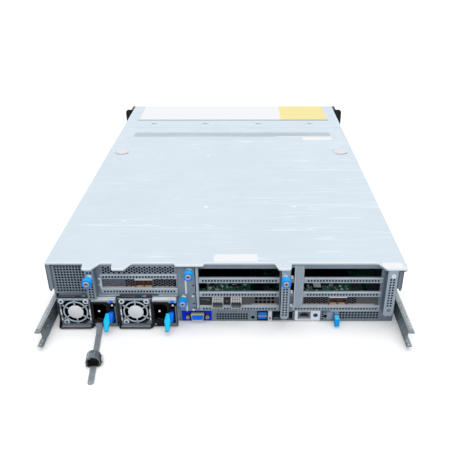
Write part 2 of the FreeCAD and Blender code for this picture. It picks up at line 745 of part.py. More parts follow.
def usb_ports():
    x0, x1, z0, z1 = usb_box
    block = box(x0, x1, rear + 1.0, rear + port_depth, z0, z1)
    tall = (z1 - z0 - 2.4) / 2
    tongues = []
    for k in range(2):
        foot = z0 + 0.8 + k * (tall + 0.8)
        block = block.cut(box(x0 + 0.7, x1 - 0.7, rear + 1.0, rear + port_depth - 2, foot, foot + tall))
        tongues.append(box(x0 + 1.4, x1 - 1.4, rear + 3.0, rear + port_depth - 2, foot + tall - 2.5,
                           foot + tall - 0.7))
    return joined([block] + tongues)


def lan_port():
    x0, x1, z0, z1 = lan_box
    block = box(x0, x1, rear + 1.2, rear + port_depth, z0, z1)
    well = [(x0 + 2, z0 + 1.0), (x1 - 2, z0 + 1.0), (x1 - 2, z1 - 3.6), (x1 - 4.5, z1 - 3.6),
            (x1 - 4.5, z1 - 1.2), (x0 + 4.5, z1 - 1.2), (x0 + 4.5, z1 - 3.6), (x0 + 2, z1 - 3.6)]
    return block.cut(plate_xz(well, [], rear + 1.2, 12))


def id_button():
    x, z = id_button_at
    rim = regular(x, z, id_button_radius, 16)
    head = plate_xz(rim, [], rear + rear_panel_set - 0.8, sheet + 0.9)
    half = id_button_radius + 1.2
    flange = box(x - half, x + half, rear + panel_in + 0.1, rear + panel_in + 1.3, z - half, z + half)
    return joined([head, flange])


def mezzanine_module():
    x0, x1, z0, z1 = module_opening
    g = slide_gap
    field = punched(lever_at + 5.7, x1 - 4.0, 5.0, 12.6)
    field.append(regular(x0 + 5.2, 8.0, 2.3, 12))
    face = plate_xz(rectangle(x0 + g, x1 - g, z0 + g, z1 - g), field, rear + 0.9, sheet)
    board = box(x0 + 2, x1 - 2, rear + 0.9 + sheet, rear + module_depth, z0 + g, z0 + g + board_thickness)
    sink = box(x0 + 20, x1 - 12, rear + 40, rear + 80, z0 + g + board_thickness, z1 - 1.5)
    foot = z0 + g + 1.2
    pin = upright_pin(lever_at, rear - 1.6, foot - 1.0, lever_pin, lever_height + 2.0)
    lugs = []
    for z in (foot - 1.0, foot + lever_height + 0.2):
        lugs.append(box(lever_at - 1.6, lever_at + 1.6, rear - 3.0, rear + 0.9, z, z + 0.8))
    return joined([face, board, sink, pin] + lugs)


def mezzanine_lever():
    foot = module_opening[2] + slide_gap + 1.2
    y = rear - 1.6
    barrel = upright_pin(lever_at, y, foot, lever_barrel, lever_height)
    blade = box(lever_at - lever_width / 2, lever_at + lever_width / 2, rear - lever_reach, y - 2.0,
                foot, foot + lever_height)
    neck = box(lever_at - 1.6, lever_at + 1.6, y - 2.0, y, foot, foot + lever_height)
    bore = upright_bore(lever_at, y, foot, lever_pin, lever_height)
    return joined([barrel, blade, neck]).cut(bore)


# ---------------------------------------------------------------- cable strap and clamp
def turned(shape):
    root = V(strap_root, rear - psu_inlet_face, 0)
    shape.rotate(root, V(0, 0, 1), strap_turn)
    return shape


def cable_strap():
    """Flat strap with a clip at its root and a round tip, lying on the table."""
    y = rear - psu_inlet_face
    t = strap_thickness
    half = strap_width / 2
    rise = strap_rise
    side = [(y - 2.6, rise), (y - 16, 0), (y - strap_length + half, 0),
            (y - strap_length + half, t), (y - 16.6, t), (y - 2.6, rise + t)]
    points = [V(strap_root - half, a, b) for a, b in side]
    band = Part.Face(ring_of(points)).extrude(V(strap_width, 0, 0))
    tip = rod(strap_root, y - strap_length + half, 0, half, t, V(0, 0, 1))
    band = turned(joined([band, tip]))
    clip = box(strap_root - 4, strap_root + 4, y - 3.4, y, psu_foot, psu_foot + 5.6)
    return joined([band, clip])


def cable_clamp():
    """Open loop that slides along the strap, with a round thumb tab on its right."""
    y = rear - psu_inlet_face - clamp_out
    y0 = y - clamp_length / 2
    x = strap_root
    foot = strap_thickness + 0.3
    loop_z = foot + clamp_wall + 3.4
    outer = plate_xz(regular(x, loop_z, clamp_radius, round_sides), [], y0, clamp_length)
    inner = plate_xz(regular(x, loop_z, clamp_radius - clamp_wall, round_sides), [], y0, clamp_length)
    keep = box(x - clamp_radius, x + clamp_radius, y0, y0 + clamp_length, foot, loop_z + clamp_radius)
    base = box(x - clamp_radius, x + clamp_radius, y0, y0 + clamp_length, foot, foot + clamp_wall)
    skirts = [box(x + side * (strap_width / 2 + 1.3) - 1.0, x + side * (strap_width / 2 + 1.3) + 1.0, y0,
                  y0 + clamp_length, 0.1, foot) for side in (-1, 1)]
    loop = outer.cut(inner).common(keep)
    rim = [V(x + clamp_radius - 0.6, y + a, foot + 4.6 + b) for a, b in regular(0, 0, 4.6, round_sides)]
    tab = Part.Face(ring_of(rim)).extrude(V(2.4, 0, 0))
    return turned(joined([loop, base, tab] + skirts))


# ---------------------------------------------------------------- covers
def side_flange(y0, y1, foot, returned):
    """Right-hand side flange of a top panel, with the rear fold if it has one."""
    x = half_cover
    corner = 6.0 if returned else 0.01
    points = [V(x, y0 + corner, foot), V(x, y1, foot), V(x, y1, cover_z), V(x, y0, cover_z),
              V(x, y0, foot + corner)]
    side = Part.Face(ring_of(points)).extrude(V(-cover_sheet + 0.2, 0, 0))
    if not returned:
        return [side]
    fold = box(x - cover_return, x, y0, y0 + 1.0, foot + corner, cover_z)
    return [side, fold]


def top_cover():
    out = rear - tongue_reach
    short = rear - short_tongue_reach
    far = rear + seam_set - seam_gap / 2
    w = half_cover
    a = rows_left
    b = middle_line
    outline = [(-w, rear), (46.5 - w, rear), (48 - w, out), (59 - w, out), (67 - w, rear), (82 - w, rear),
               (84 - w, out), (98.5 - w, out), (106 - w, rear), (a - 3, rear), (a - 1, short),
               (a + 32, short), (a + 34.5, rear), (b - 13.55, rear), (b - 8.55, out), (b + 5.45, out),
               (b + 7.45, rear), (w - 34, rear), (w - 25, out), (w - 1, out), (w, out + 1), (w, far),
               (-w, far)]
    holes = []
    for side in (-1, 1):
        holes.append([(side * button_set[0] + a, rear + button_set[1] + b)
                      for a, b in regular(0, 0, button_radius + slide_gap, round_sides)])
    count = int(2 * (half_cover - vent_margin) / vent_pitch)
    for row in range(2):
        for k in range(count - row):
            x = (k + 0.5 * row - (count - 1) / 2) * vent_pitch
            y = rear + seam_set - vent_to_seam + 6 + vent_row_pitch * row
            holes.append(rectangle(x - vent_hole / 2, x + vent_hole / 2, y - 2.4, y + 2.4))
    plate = plate_xy(outline, holes, cover_z, cover_sheet)
    flanges = side_flange(rear, far, cover_flange_foot, True)
    flanges += [mirrored(f) for f in side_flange(rear, far, cover_flange_foot, True)]
    seats = []
    half = button_radius + 2
    y = rear + button_set[1]
    for side in (-1, 1):
        x = side * button_set[0]
        seats.append(box(x - half, x + half, y - half, y + half, cover_z - 5.0, cover_z - 4.0))
        for wall in (-half, half - 1):
            seats.append(box(x + wall, x + wall + 1, y - half, y + half, cover_z - 5.0, cover_z))
    return joined([plate] + flanges + seats)


def cover_button(side):
    top = body_height + button_rise
    foot = cover_z - 1.4
    rim = regular(side * button_set[0], rear + button_set[1], button_radius, 2 * round_sides)
    return plate_xy(rim, [], foot, top - foot)


def front_top_panel():
    near = rear + seam_set + seam_gap / 2
    w = half_cover
    plate = plate_xy([(-w, near), (w, near), (w, front), (-w, front)], [], cover_z, cover_sheet)
    flanges = side_flange(near, front, front_flange_foot, False)
    flanges += [mirrored(f) for f in side_flange(near, front, front_flange_foot, False)]
    return joined([plate] + flanges)


# ---------------------------------------------------------------- inside
def main_board():
    """Board with a step round the power supplies and a bay for the mezzanine module."""
    z = board_height
    edge = half_inside - 2
    near = rear + port_depth + 2
    left = rows_left + 2
    right = module_opening[0] - 3.3
    outline = [(left, near), (right, near), (right, rear + module_depth + 8),
               (edge, rear + module_depth + 8), (edge, rear + board_front), (-edge, rear + board_front),
               (-edge, rear + bay_depth + 12), (left, rear + bay_depth + 12)]
    return plate_xy(outline, [], z, board_thickness)


def side_group():
    """Middle of the outer memory group, and its inner edge."""
    reach = (side_sticks - 1) * stick_pitch + stick_width
    return half_inside - side_sticks_in - reach / 2, half_inside - side_sticks_in - reach


def heatsink(side):
    z = board_height + board_thickness
    middle_edge = ((2 * side_sticks - 1) * stick_pitch + stick_width) / 2
    x = side * (middle_edge + side_group()[1]) / 2 - sink_width / 2
    y1 = rear + board_front - sink_clear
    fin_pitch = (sink_width - 1.0) / (sink_fins - 1)
    base = box(x, x + sink_width, y1 - sink_length, y1, z, z + 8)
    fins = [box(x + k * fin_pitch, x + k * fin_pitch + 1, y1 - sink_length, y1, z + 8, z + sink_height)
            for k in range(sink_fins)]
    return joined([base] + fins)


def memory_modules():
    z = board_height + board_thickness
    y1 = rear + board_front - stick_clear
    outer = side_group()[0]
    sticks = []
    for centre, count in ((-outer, side_sticks), (0.0, 2 * side_sticks), (outer, side_sticks)):
        for k in range(count):
            x = centre + (k - (count - 1) / 2) * stick_pitch - stick_width / 2
            sticks.append(box(x, x + stick_width, y1 - stick_length, y1, z, z + stick_height))
    return Part.makeCompound(sticks)


def fan_places():
    span = 2 * half_inside / fan_count
    return [(-half_inside + (k + 0.5) * span) for k in range(fan_count)]


def fan_wall():
    y0 = rear + fan_set
    z0 = sheet
    z1 = cage_top
    zc = (z0 + z1) / 2
    frame = box(-half_inside, half_inside, y0, y0 + fan_thickness, z0, z1)
    posts = []
    for x in fan_places():
        frame = frame.cut(plate_xz(regular(x, zc, fan_bore, round_sides), [], y0, fan_thickness))
        posts.append(plate_xz(regular(x, zc, fan_axle, 12), [], y0 + 3, fan_thickness - 6))
        posts.append(box(x - 2, x + 2, y0 + fan_thickness - 3, y0 + fan_thickness, z0 + 1, z1 - 1))
    return joined([frame] + posts)


def fan_rotor(x):
    y0 = rear + fan_set
    zc = (sheet + cage_top) / 2
    start = y0 + 2
    length = fan_thickness - 6
    hub = plate_xz(regular(x, zc, fan_hub, 2 * fan_blades), [], start, length)
    hub = hub.cut(axle_bore(x, zc, fan_axle, start + 1, length))
    return joined([hub] + blades(x, start + length / 2, zc, fan_hub, fan_blade, 28, fan_blades, 35))


# ---------------------------------------------------------------- front
def bay_places():
    places = []
    for row in range(drive_rows):
        for column in range(drive_columns):
            x = (column - (drive_columns - 1) / 2) * bay_pitch_x
            places.append((x, bay_foot + row * bay_pitch_z))
    return places


def drive_cage():
    y0 = rear + drive_cage_set
    z1 = cage_top
    half = half_inside - 0.2
    shell = box(-half, half, y0, front, sheet, z1)
    for x, z in bay_places():
        shell = shell.cut(box(x - bay_width / 2, x + bay_width / 2, y0, front, z, z + bay_height))
    loft = bay_foot + drive_rows * bay_pitch_z
    shell = shell.cut(box(-half + 2, half - 2, y0, front - 1.2, loft + 0.6, z1 - 1.2))
    slots = []
    reach = int((half - 14) / 31.2)
    for k in range(-reach, reach + 1):
        slots.append(box(k * 31.2 - 12, k * 31.2 + 12, front - 1.2, front, loft + 4, z1 - 5))
    return shell.cut(Part.makeCompound(slots))


def drive_backplane():
    y1 = rear + drive_cage_set
    return box(-half_inside + 6, half_inside - 6, y1 - 2.0, y1, sheet + 2, cage_top - 6)


def drive_carrier(x, z):
    """Carrier with its disk drive and a closed release lever across its face."""
    g = slide_gap
    x0 = x - bay_width / 2 + g
    x1 = x + bay_width / 2 - g
    z0 = z + rest_gap
    z1 = z + bay_height - g
    y1 = front + carrier_proud
    face = box(x0, x1, y1 - carrier_face, y1, z0, z1)
    face = face.cut(box(x0 + 26, x1 - 3, y1 - 5, y1, z0 + 3, z1 - 3))
    lever = box(x0 + 22, x1 - 8, y1 - 5, y1 - 1.0, z0 + 7, z1 - 7)
    disk = box(x0 + 0.6, x1 - 0.6, y1 - carrier_face - drive_length + plug_length, y1 - carrier_face,
               z0 + 0.4, z1 - 0.4)
    return joined([face, lever, disk])


def ear(side):
    """Rack ear with its handle column and the strap that fixes it to the side wall."""
    x0 = half_chassis
    x1 = rack_width / 2
    y0 = front - 5.0
    radius = 4.0
    hole_x = x1 - rack_hole_in
    middle = (ear_foot + ear_top) / 2
    points = [(x0, ear_foot), (x1, ear_foot), (x1, ear_top - radius), (x1 - radius, ear_top),
              (x0, ear_top)]
    plate = plate_xz(points, [], y0, ear_plate)
    column = box(x0, x0 + ear_column, y0 + ear_plate, front + ear_reach, ear_foot, ear_top)
    edges = [e for e in column.Edges if abs(e.CenterOfMass.y - front - ear_reach) < 1e-6]
    column = column.makeChamfer(2.5, edges)
    strap = box(x0, x0 + 2.0, y0 - 42, y0, ear_foot + 4, front_flange_foot - 3)
    shape = joined([plate, column, strap])
    shape = shape.cut(rod(hole_x, y0 - 1, middle, rack_hole_radius, ear_plate + 2))
    if side > 0:
        at = V(x0 + ear_column / 2, front + ear_reach - 6, middle + 18)
        well = regular(at.x, at.z, power_button_radius + slide_gap, round_sides)
        shape = shape.cut(plate_xz(well, [], at.y, 6))
        return shape
    return mirrored(shape)


def power_button():
    x = half_chassis + ear_column / 2
    z = (ear_foot + ear_top) / 2 + 18
    start = front + ear_reach - 6 + power_button_travel + 0.1
    rim = regular(x, z, power_button_radius, round_sides)
    return plate_xz(rim, [], start, 6 - power_button_travel + 0.6)


# ---------------------------------------------------------------- all nodes
def nodes():
    made = {
        "chassis_base": chassis_base(),
        "rear_io_panel": rear_io_panel(),
        "rear_vent_panel": rear_vent_panel(),
        "psu_bay": psu_bay(),
        "front_top_panel": front_top_panel(),
        "top_cover": top_cover(),
        "cover_button_left": cover_button(-1),
        "cover_button_right": cover_button(1),
        "ear_left": ear(-1),
        "ear_right": ear(1),
        "power_button": power_button(),
        "rail_left": mirrored(inner_rail()),
        "rail_right": inner_rail(),
        "riser_cage_left": riser_cage_left(),
        "riser_cage_middle": riser_cage_middle(),
        "riser_cage_right": riser_cage_right(),
        "riser_boards": riser_boards(),
        "thumbscrew_left": thumbscrew(left_screw, rear - bracket_proud),
        "thumbscrew_middle_upper": thumbscrew(middle_upper_screw, rear),
        "thumbscrew_middle_lower": thumbscrew(middle_lower_screw, rear),
        "thumbscrew_right": thumbscrew(right_screw, rear - bracket_proud),
        "network_card_left": network_card(left_cage[1] - sheet - board_thickness, -1, left_window,
                                          left_slot, False),
        "network_card_right": network_card(right_window[0] - 3.8 + board_thickness, 1, right_window,
                                           first_slot, True),
        "optical_card": optical_card(),
        "display_port": display_port(),
        "usb_ports": usb_ports(),
        "lan_port": lan_port(),
        "id_button": id_button(),
        "mezzanine_module": mezzanine_module(),
        "mezzanine_lever": mezzanine_lever(),
        "cable_strap": cable_strap(),
        "cable_clamp": cable_clamp(),
        "main_board": main_board(),
        "heatsinks": Part.makeCompound([heatsink(-1), heatsink(1)]),
        "memory_modules": memory_modules(),
        "fan_wall": fan_wall(),
        "drive_cage": drive_cage(),
        "drive_backplane": drive_backplane(),
    }
    for k, name in enumerate(("psu_left", "psu_right")):
        x0 = psu_left + k * psu_pitch
        made[name + "_housing"] = psu_housing(x0)
        made[name + "_fan_guard"] = fan_guard(x0)
        made[name + "_fan_rotor"] = psu_rotor(x0)
        made[name + "_inlet"] = power_inlet(x0)
        made[name + "_latch"] = psu_latch(x0)
    for k, x in enumerate(fan_places()):
        made["fan_rotor_%d" % (k + 1)] = fan_rotor(x)
    for k, (x, z) in enumerate(bay_places()):
        made["drive_carrier_%d" % (k + 1)] = drive_carrier(x, z)
    return made


os.makedirs("parts", exist_ok=True)
for name, shape in nodes().items():
    shape.exportStep("parts/%s.step" % name)
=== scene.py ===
import math
import random

import bmesh
import bpy
from mathutils import Matrix, Vector


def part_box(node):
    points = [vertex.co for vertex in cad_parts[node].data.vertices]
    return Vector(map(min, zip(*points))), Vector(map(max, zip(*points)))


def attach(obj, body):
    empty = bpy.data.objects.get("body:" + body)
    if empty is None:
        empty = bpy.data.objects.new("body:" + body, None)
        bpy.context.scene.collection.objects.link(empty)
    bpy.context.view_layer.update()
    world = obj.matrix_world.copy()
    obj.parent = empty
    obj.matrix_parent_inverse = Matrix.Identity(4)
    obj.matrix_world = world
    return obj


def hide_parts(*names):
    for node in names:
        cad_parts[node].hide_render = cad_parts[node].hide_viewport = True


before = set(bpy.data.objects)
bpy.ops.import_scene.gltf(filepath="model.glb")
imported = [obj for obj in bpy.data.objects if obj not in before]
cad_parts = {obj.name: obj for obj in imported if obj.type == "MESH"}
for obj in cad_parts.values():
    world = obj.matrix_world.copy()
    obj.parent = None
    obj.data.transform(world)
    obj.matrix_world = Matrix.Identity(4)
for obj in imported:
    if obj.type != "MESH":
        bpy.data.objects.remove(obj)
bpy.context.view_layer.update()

# ------------------------------------------------------------------ places, in millimetres
MM = 0.001


def low(node):
    return [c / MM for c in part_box(node)[0]]


def high(node):
    return [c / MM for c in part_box(node)[1]]


SHEET = 1.2
THIN = 0.6                                       # perforated faces
PANEL_SET = 2.0                                  # rear panels stand this far inside the cover's edge
REAR = low("rear_io_panel")[1] - PANEL_SET       # rear edge of the cover, along Y
COVER_TOP = high("top_cover")[2]
COVER_FOOT = COVER_TOP - SHEET
HALF_COVER = high("top_cover")[0]
CAGE_TOP = high("riser_cage_middle")[2]
CAGE_FOOT = low("riser_cage_middle")[2]
BAY_TOP = high("psu_bay")[2]
HOLE = 2.75
HOLE_PITCH = 3.75
HEX_RADIUS = 1.68
HEX_PITCH = 3.65
CARD_HEX_RADIUS = 1.55
CARD_HEX_PITCH = 3.45
SLOT_PITCH = 20.32
SLOT_HEIGHT = 12.4
FIRST_SLOT = 26.2
LEFT_SLOT = 52.0
CAGE_DEPTH = 175
CARD_DEPTH = 152
BUTTON_HOLE = 12.5
KNOB_LENGTH = 15.5
PSU_FACE = -8.0                                  # depth of the power supply's fan side
INLET_FACE = -11.5                               # depth of its inlet side
LABEL = 0.12
DISPLAY_PORT = (-44.5, -27.5, 4.6, 14.4)         # left, right, foot and top of its cut-out
STRAP_ROOT = (-159.2, -11.5)                     # x and depth where the strap leaves the power supply
STRAP_TURN = math.radians(6.2)


def depth(y):
    """Distance of a CAD plane from the rear edge of the cover."""
    return y - REAR


def at(x, d, z):
    """Point x across, d in from the cover's rear edge, z up, in metres."""
    return Vector((x * MM, (REAR + d) * MM, z * MM))


def centre(node):
    """Middle of a CAD node: x, depth and z."""
    lo, hi = low(node), high(node)
    return (lo[0] + hi[0]) / 2, depth((lo[1] + hi[1]) / 2), (lo[2] + hi[2]) / 2


BRACKET_FACE = depth(low("riser_cage_right")[1])  # perforated brackets stand proud of the cages


# ------------------------------------------------------------------ materials
def feed(tree, socket, value):
    """Link another socket to this one, or set its own value; a colour gets its alpha."""
    if isinstance(value, bpy.types.NodeSocket):
        tree.links.new(value, socket)
    elif socket.type == "RGBA":
        socket.default_value = (*value, 1.0)
    else:
        socket.default_value = value


def node(tree, kind, inputs, output=0, **settings):
    """New shader node with its inputs fed; gives back one of its outputs."""
    made = tree.nodes.new("ShaderNode" + kind)
    for key, value in settings.items():
        setattr(made, key, value)
    for key, value in inputs.items():
        feed(tree, made.inputs[key], value)
    return made.outputs[output]


def new_material(name):
    mat = bpy.data.materials.new(name)
    mat.use_nodes = True
    return mat, mat.node_tree


def feed_shader(mat, inputs):
    """Feed the inputs of a material's main shader."""
    for key, value in inputs.items():
        feed(mat.node_tree, mat.node_tree.nodes["Principled BSDF"].inputs[key], value)
    return mat


def place(tree, scale=(1, 1, 1), turn=(0, 0, 0)):
    """Position in the piece's own frame, scaled and turned."""
    where = node(tree, "TexCoord", {}, "Object")
    return node(tree, "Mapping", {"Vector": where, "Scale": scale, "Rotation": turn})


def noise(tree, vector, scale, detail=4.0, distortion=0.0):
    return node(tree, "TexNoise", {"Vector": vector, "Scale": scale, "Detail": detail,
                                   "Distortion": distortion}, "Fac")


def ramp(tree, value, low_in, high_in, low_out=0.0, high_out=1.0):
    return node(tree, "MapRange", {"Value": value, "From Min": low_in, "From Max": high_in,
                                   "To Min": low_out, "To Max": high_out})


def times(tree, a, b):
    return node(tree, "Math", {0: a, 1: b}, operation="MULTIPLY")


def mix(tree, factor, a, b):
    """Colour a where factor is 0, b where it is 1; a and b are colours or sockets."""
    return node(tree, "Mix", {"Factor": factor, 6: a, 7: b}, 2, data_type="RGBA")


def shade(colour, k):
    return tuple(min(c * k, 1.0) for c in colour)


def bump(tree, height, strength, distance):
    return node(tree, "Bump", {"Height": height, "Strength": strength, "Distance": distance})


def scratches(tree, scale, turn, width, distortion=0.6):
    """Sparse fine lines along one direction."""
    line = noise(tree, place(tree, (scale * 0.05, scale, scale), (0, 0, turn)), 1.0, 1.0, distortion)
    thin = ramp(tree, line, 0.5 - width, 0.5, 0.0, 1.0)
    other = ramp(tree, line, 0.5, 0.5 + width, 1.0, 0.0)
    patch = ramp(tree, noise(tree, place(tree, (1, 1, 1), (0, 0, turn)), 7.0, 1.0), 0.52, 0.66)
    return times(tree, times(tree, thin, other), patch)


def metal(name, colour, metallic=0.5, roughness=0.42, cell=90.0, spread=0.07, scratch=0.0):
    """Sheet steel: zinc spangle, fine mottling, uneven sheen and, if asked, scratches."""
    mat, tree = new_material(name)
    spangle = node(tree, "TexVoronoi", {"Vector": place(tree), "Scale": cell}, "Color")
    split = node(tree, "SeparateColor", {"Color": spangle})
    base = mix(tree, split, shade(colour, 1 - spread), shade(colour, 1 + spread))
    cloud = ramp(tree, noise(tree, place(tree), 9.0, 3.0), 0.3, 0.7)
    base = mix(tree, times(tree, cloud, 0.35), base, shade(colour, 0.9))
    if scratch:
        for turn, scale in ((0.35, 60.0), (-0.5, 48.0), (1.2, 75.0), (-0.15, 90.0)):
            lines = scratches(tree, scale, turn, 0.014)
            base = mix(tree, times(tree, lines, scratch), base, shade(colour, 1.2))
    uneven = noise(tree, place(tree), 160.0, 5.0)
    return feed_shader(mat, {"Base Color": base, "Metallic": metallic,
                             "Roughness": ramp(tree, uneven, 0.3, 0.7, roughness - 0.06, roughness + 0.08),
                             "Normal": bump(tree, noise(tree, place(tree), 1400.0, 3.0), 0.12, 0.0002)})


def brushed(name, colour, metallic=0.85, roughness=0.3, along=(1, 1, 1)):
    """Bright metal with a fine directional grain."""
    mat, tree = new_material(name)
    grain = noise(tree, place(tree, along), 900.0, 3.0)
    base = mix(tree, ramp(tree, grain, 0.3, 0.7), shade(colour, 0.82), shade(colour, 1.1))
    return feed_shader(mat, {"Base Color": base, "Metallic": metallic,
                             "Roughness": ramp(tree, grain, 0.3, 0.7, roughness - 0.08, roughness + 0.1),
                             "Normal": bump(tree, grain, 0.1, 0.0001)})


def plastic(name, colour, roughness=0.4, spread=0.06, grain=0.15, coat=0.0, specular=0.5):
    """Moulded plastic: faint tone changes and a fine spark-eroded grain."""
    mat, tree = new_material(name)
    cloud = ramp(tree, noise(tree, place(tree), 60.0, 3.0), 0.3, 0.7)
    base = mix(tree, cloud, shade(colour, 1 - spread), shade(colour, 1 + spread))
    fine = noise(tree, place(tree), 2500.0, 2.0)
    return feed_shader(mat, {"Base Color": base, "Coat Weight": coat, "Specular IOR Level": specular,
                             "Roughness": ramp(tree, fine, 0.3, 0.7, roughness - 0.05, roughness + 0.08),
                             "Normal": bump(tree, fine, grain, 0.0001)})


def board(name, colour):
    """Circuit board: solder mask with lighter traces, pads and darker pours."""
    mat, tree = new_material(name)
    pours = ramp(tree, noise(tree, place(tree), 45.0, 2.0), 0.45, 0.55)
    base = mix(tree, pours, shade(colour, 0.7), shade(colour, 1.25))
    bricks = node(tree, "TexBrick", {"Vector": place(tree), "Scale": 260.0, "Mortar Size": 0.012}, "Fac")
    base = mix(tree, times(tree, bricks, 0.5), base, shade(colour, 1.9))
    dots = node(tree, "TexVoronoi", {"Vector": place(tree), "Scale": 420.0}, "Distance")
    pads = ramp(tree, dots, 0.16, 0.12)
    base = mix(tree, times(tree, pads, 0.45), base, (0.62, 0.66, 0.62))
    return feed_shader(mat,
                       {"Base Color": base, "Roughness": 0.38, "Normal": bump(tree, bricks, 0.2, 0.0001)})


def paper(name, colour, spread=0.03):
    """Blank adhesive label with a faint fibre and a soft sheen."""
    mat, tree = new_material(name)
    fibre = noise(tree, place(tree), 700.0, 4.0)
    base = mix(tree, ramp(tree, fibre, 0.3, 0.7), shade(colour, 1 - spread), shade(colour, 1 + spread))
    return feed_shader(mat, {"Base Color": base, "Roughness": ramp(tree, fibre, 0.3, 0.7, 0.45, 0.6),
                             "Normal": bump(tree, fibre, 0.06, 0.0001)})


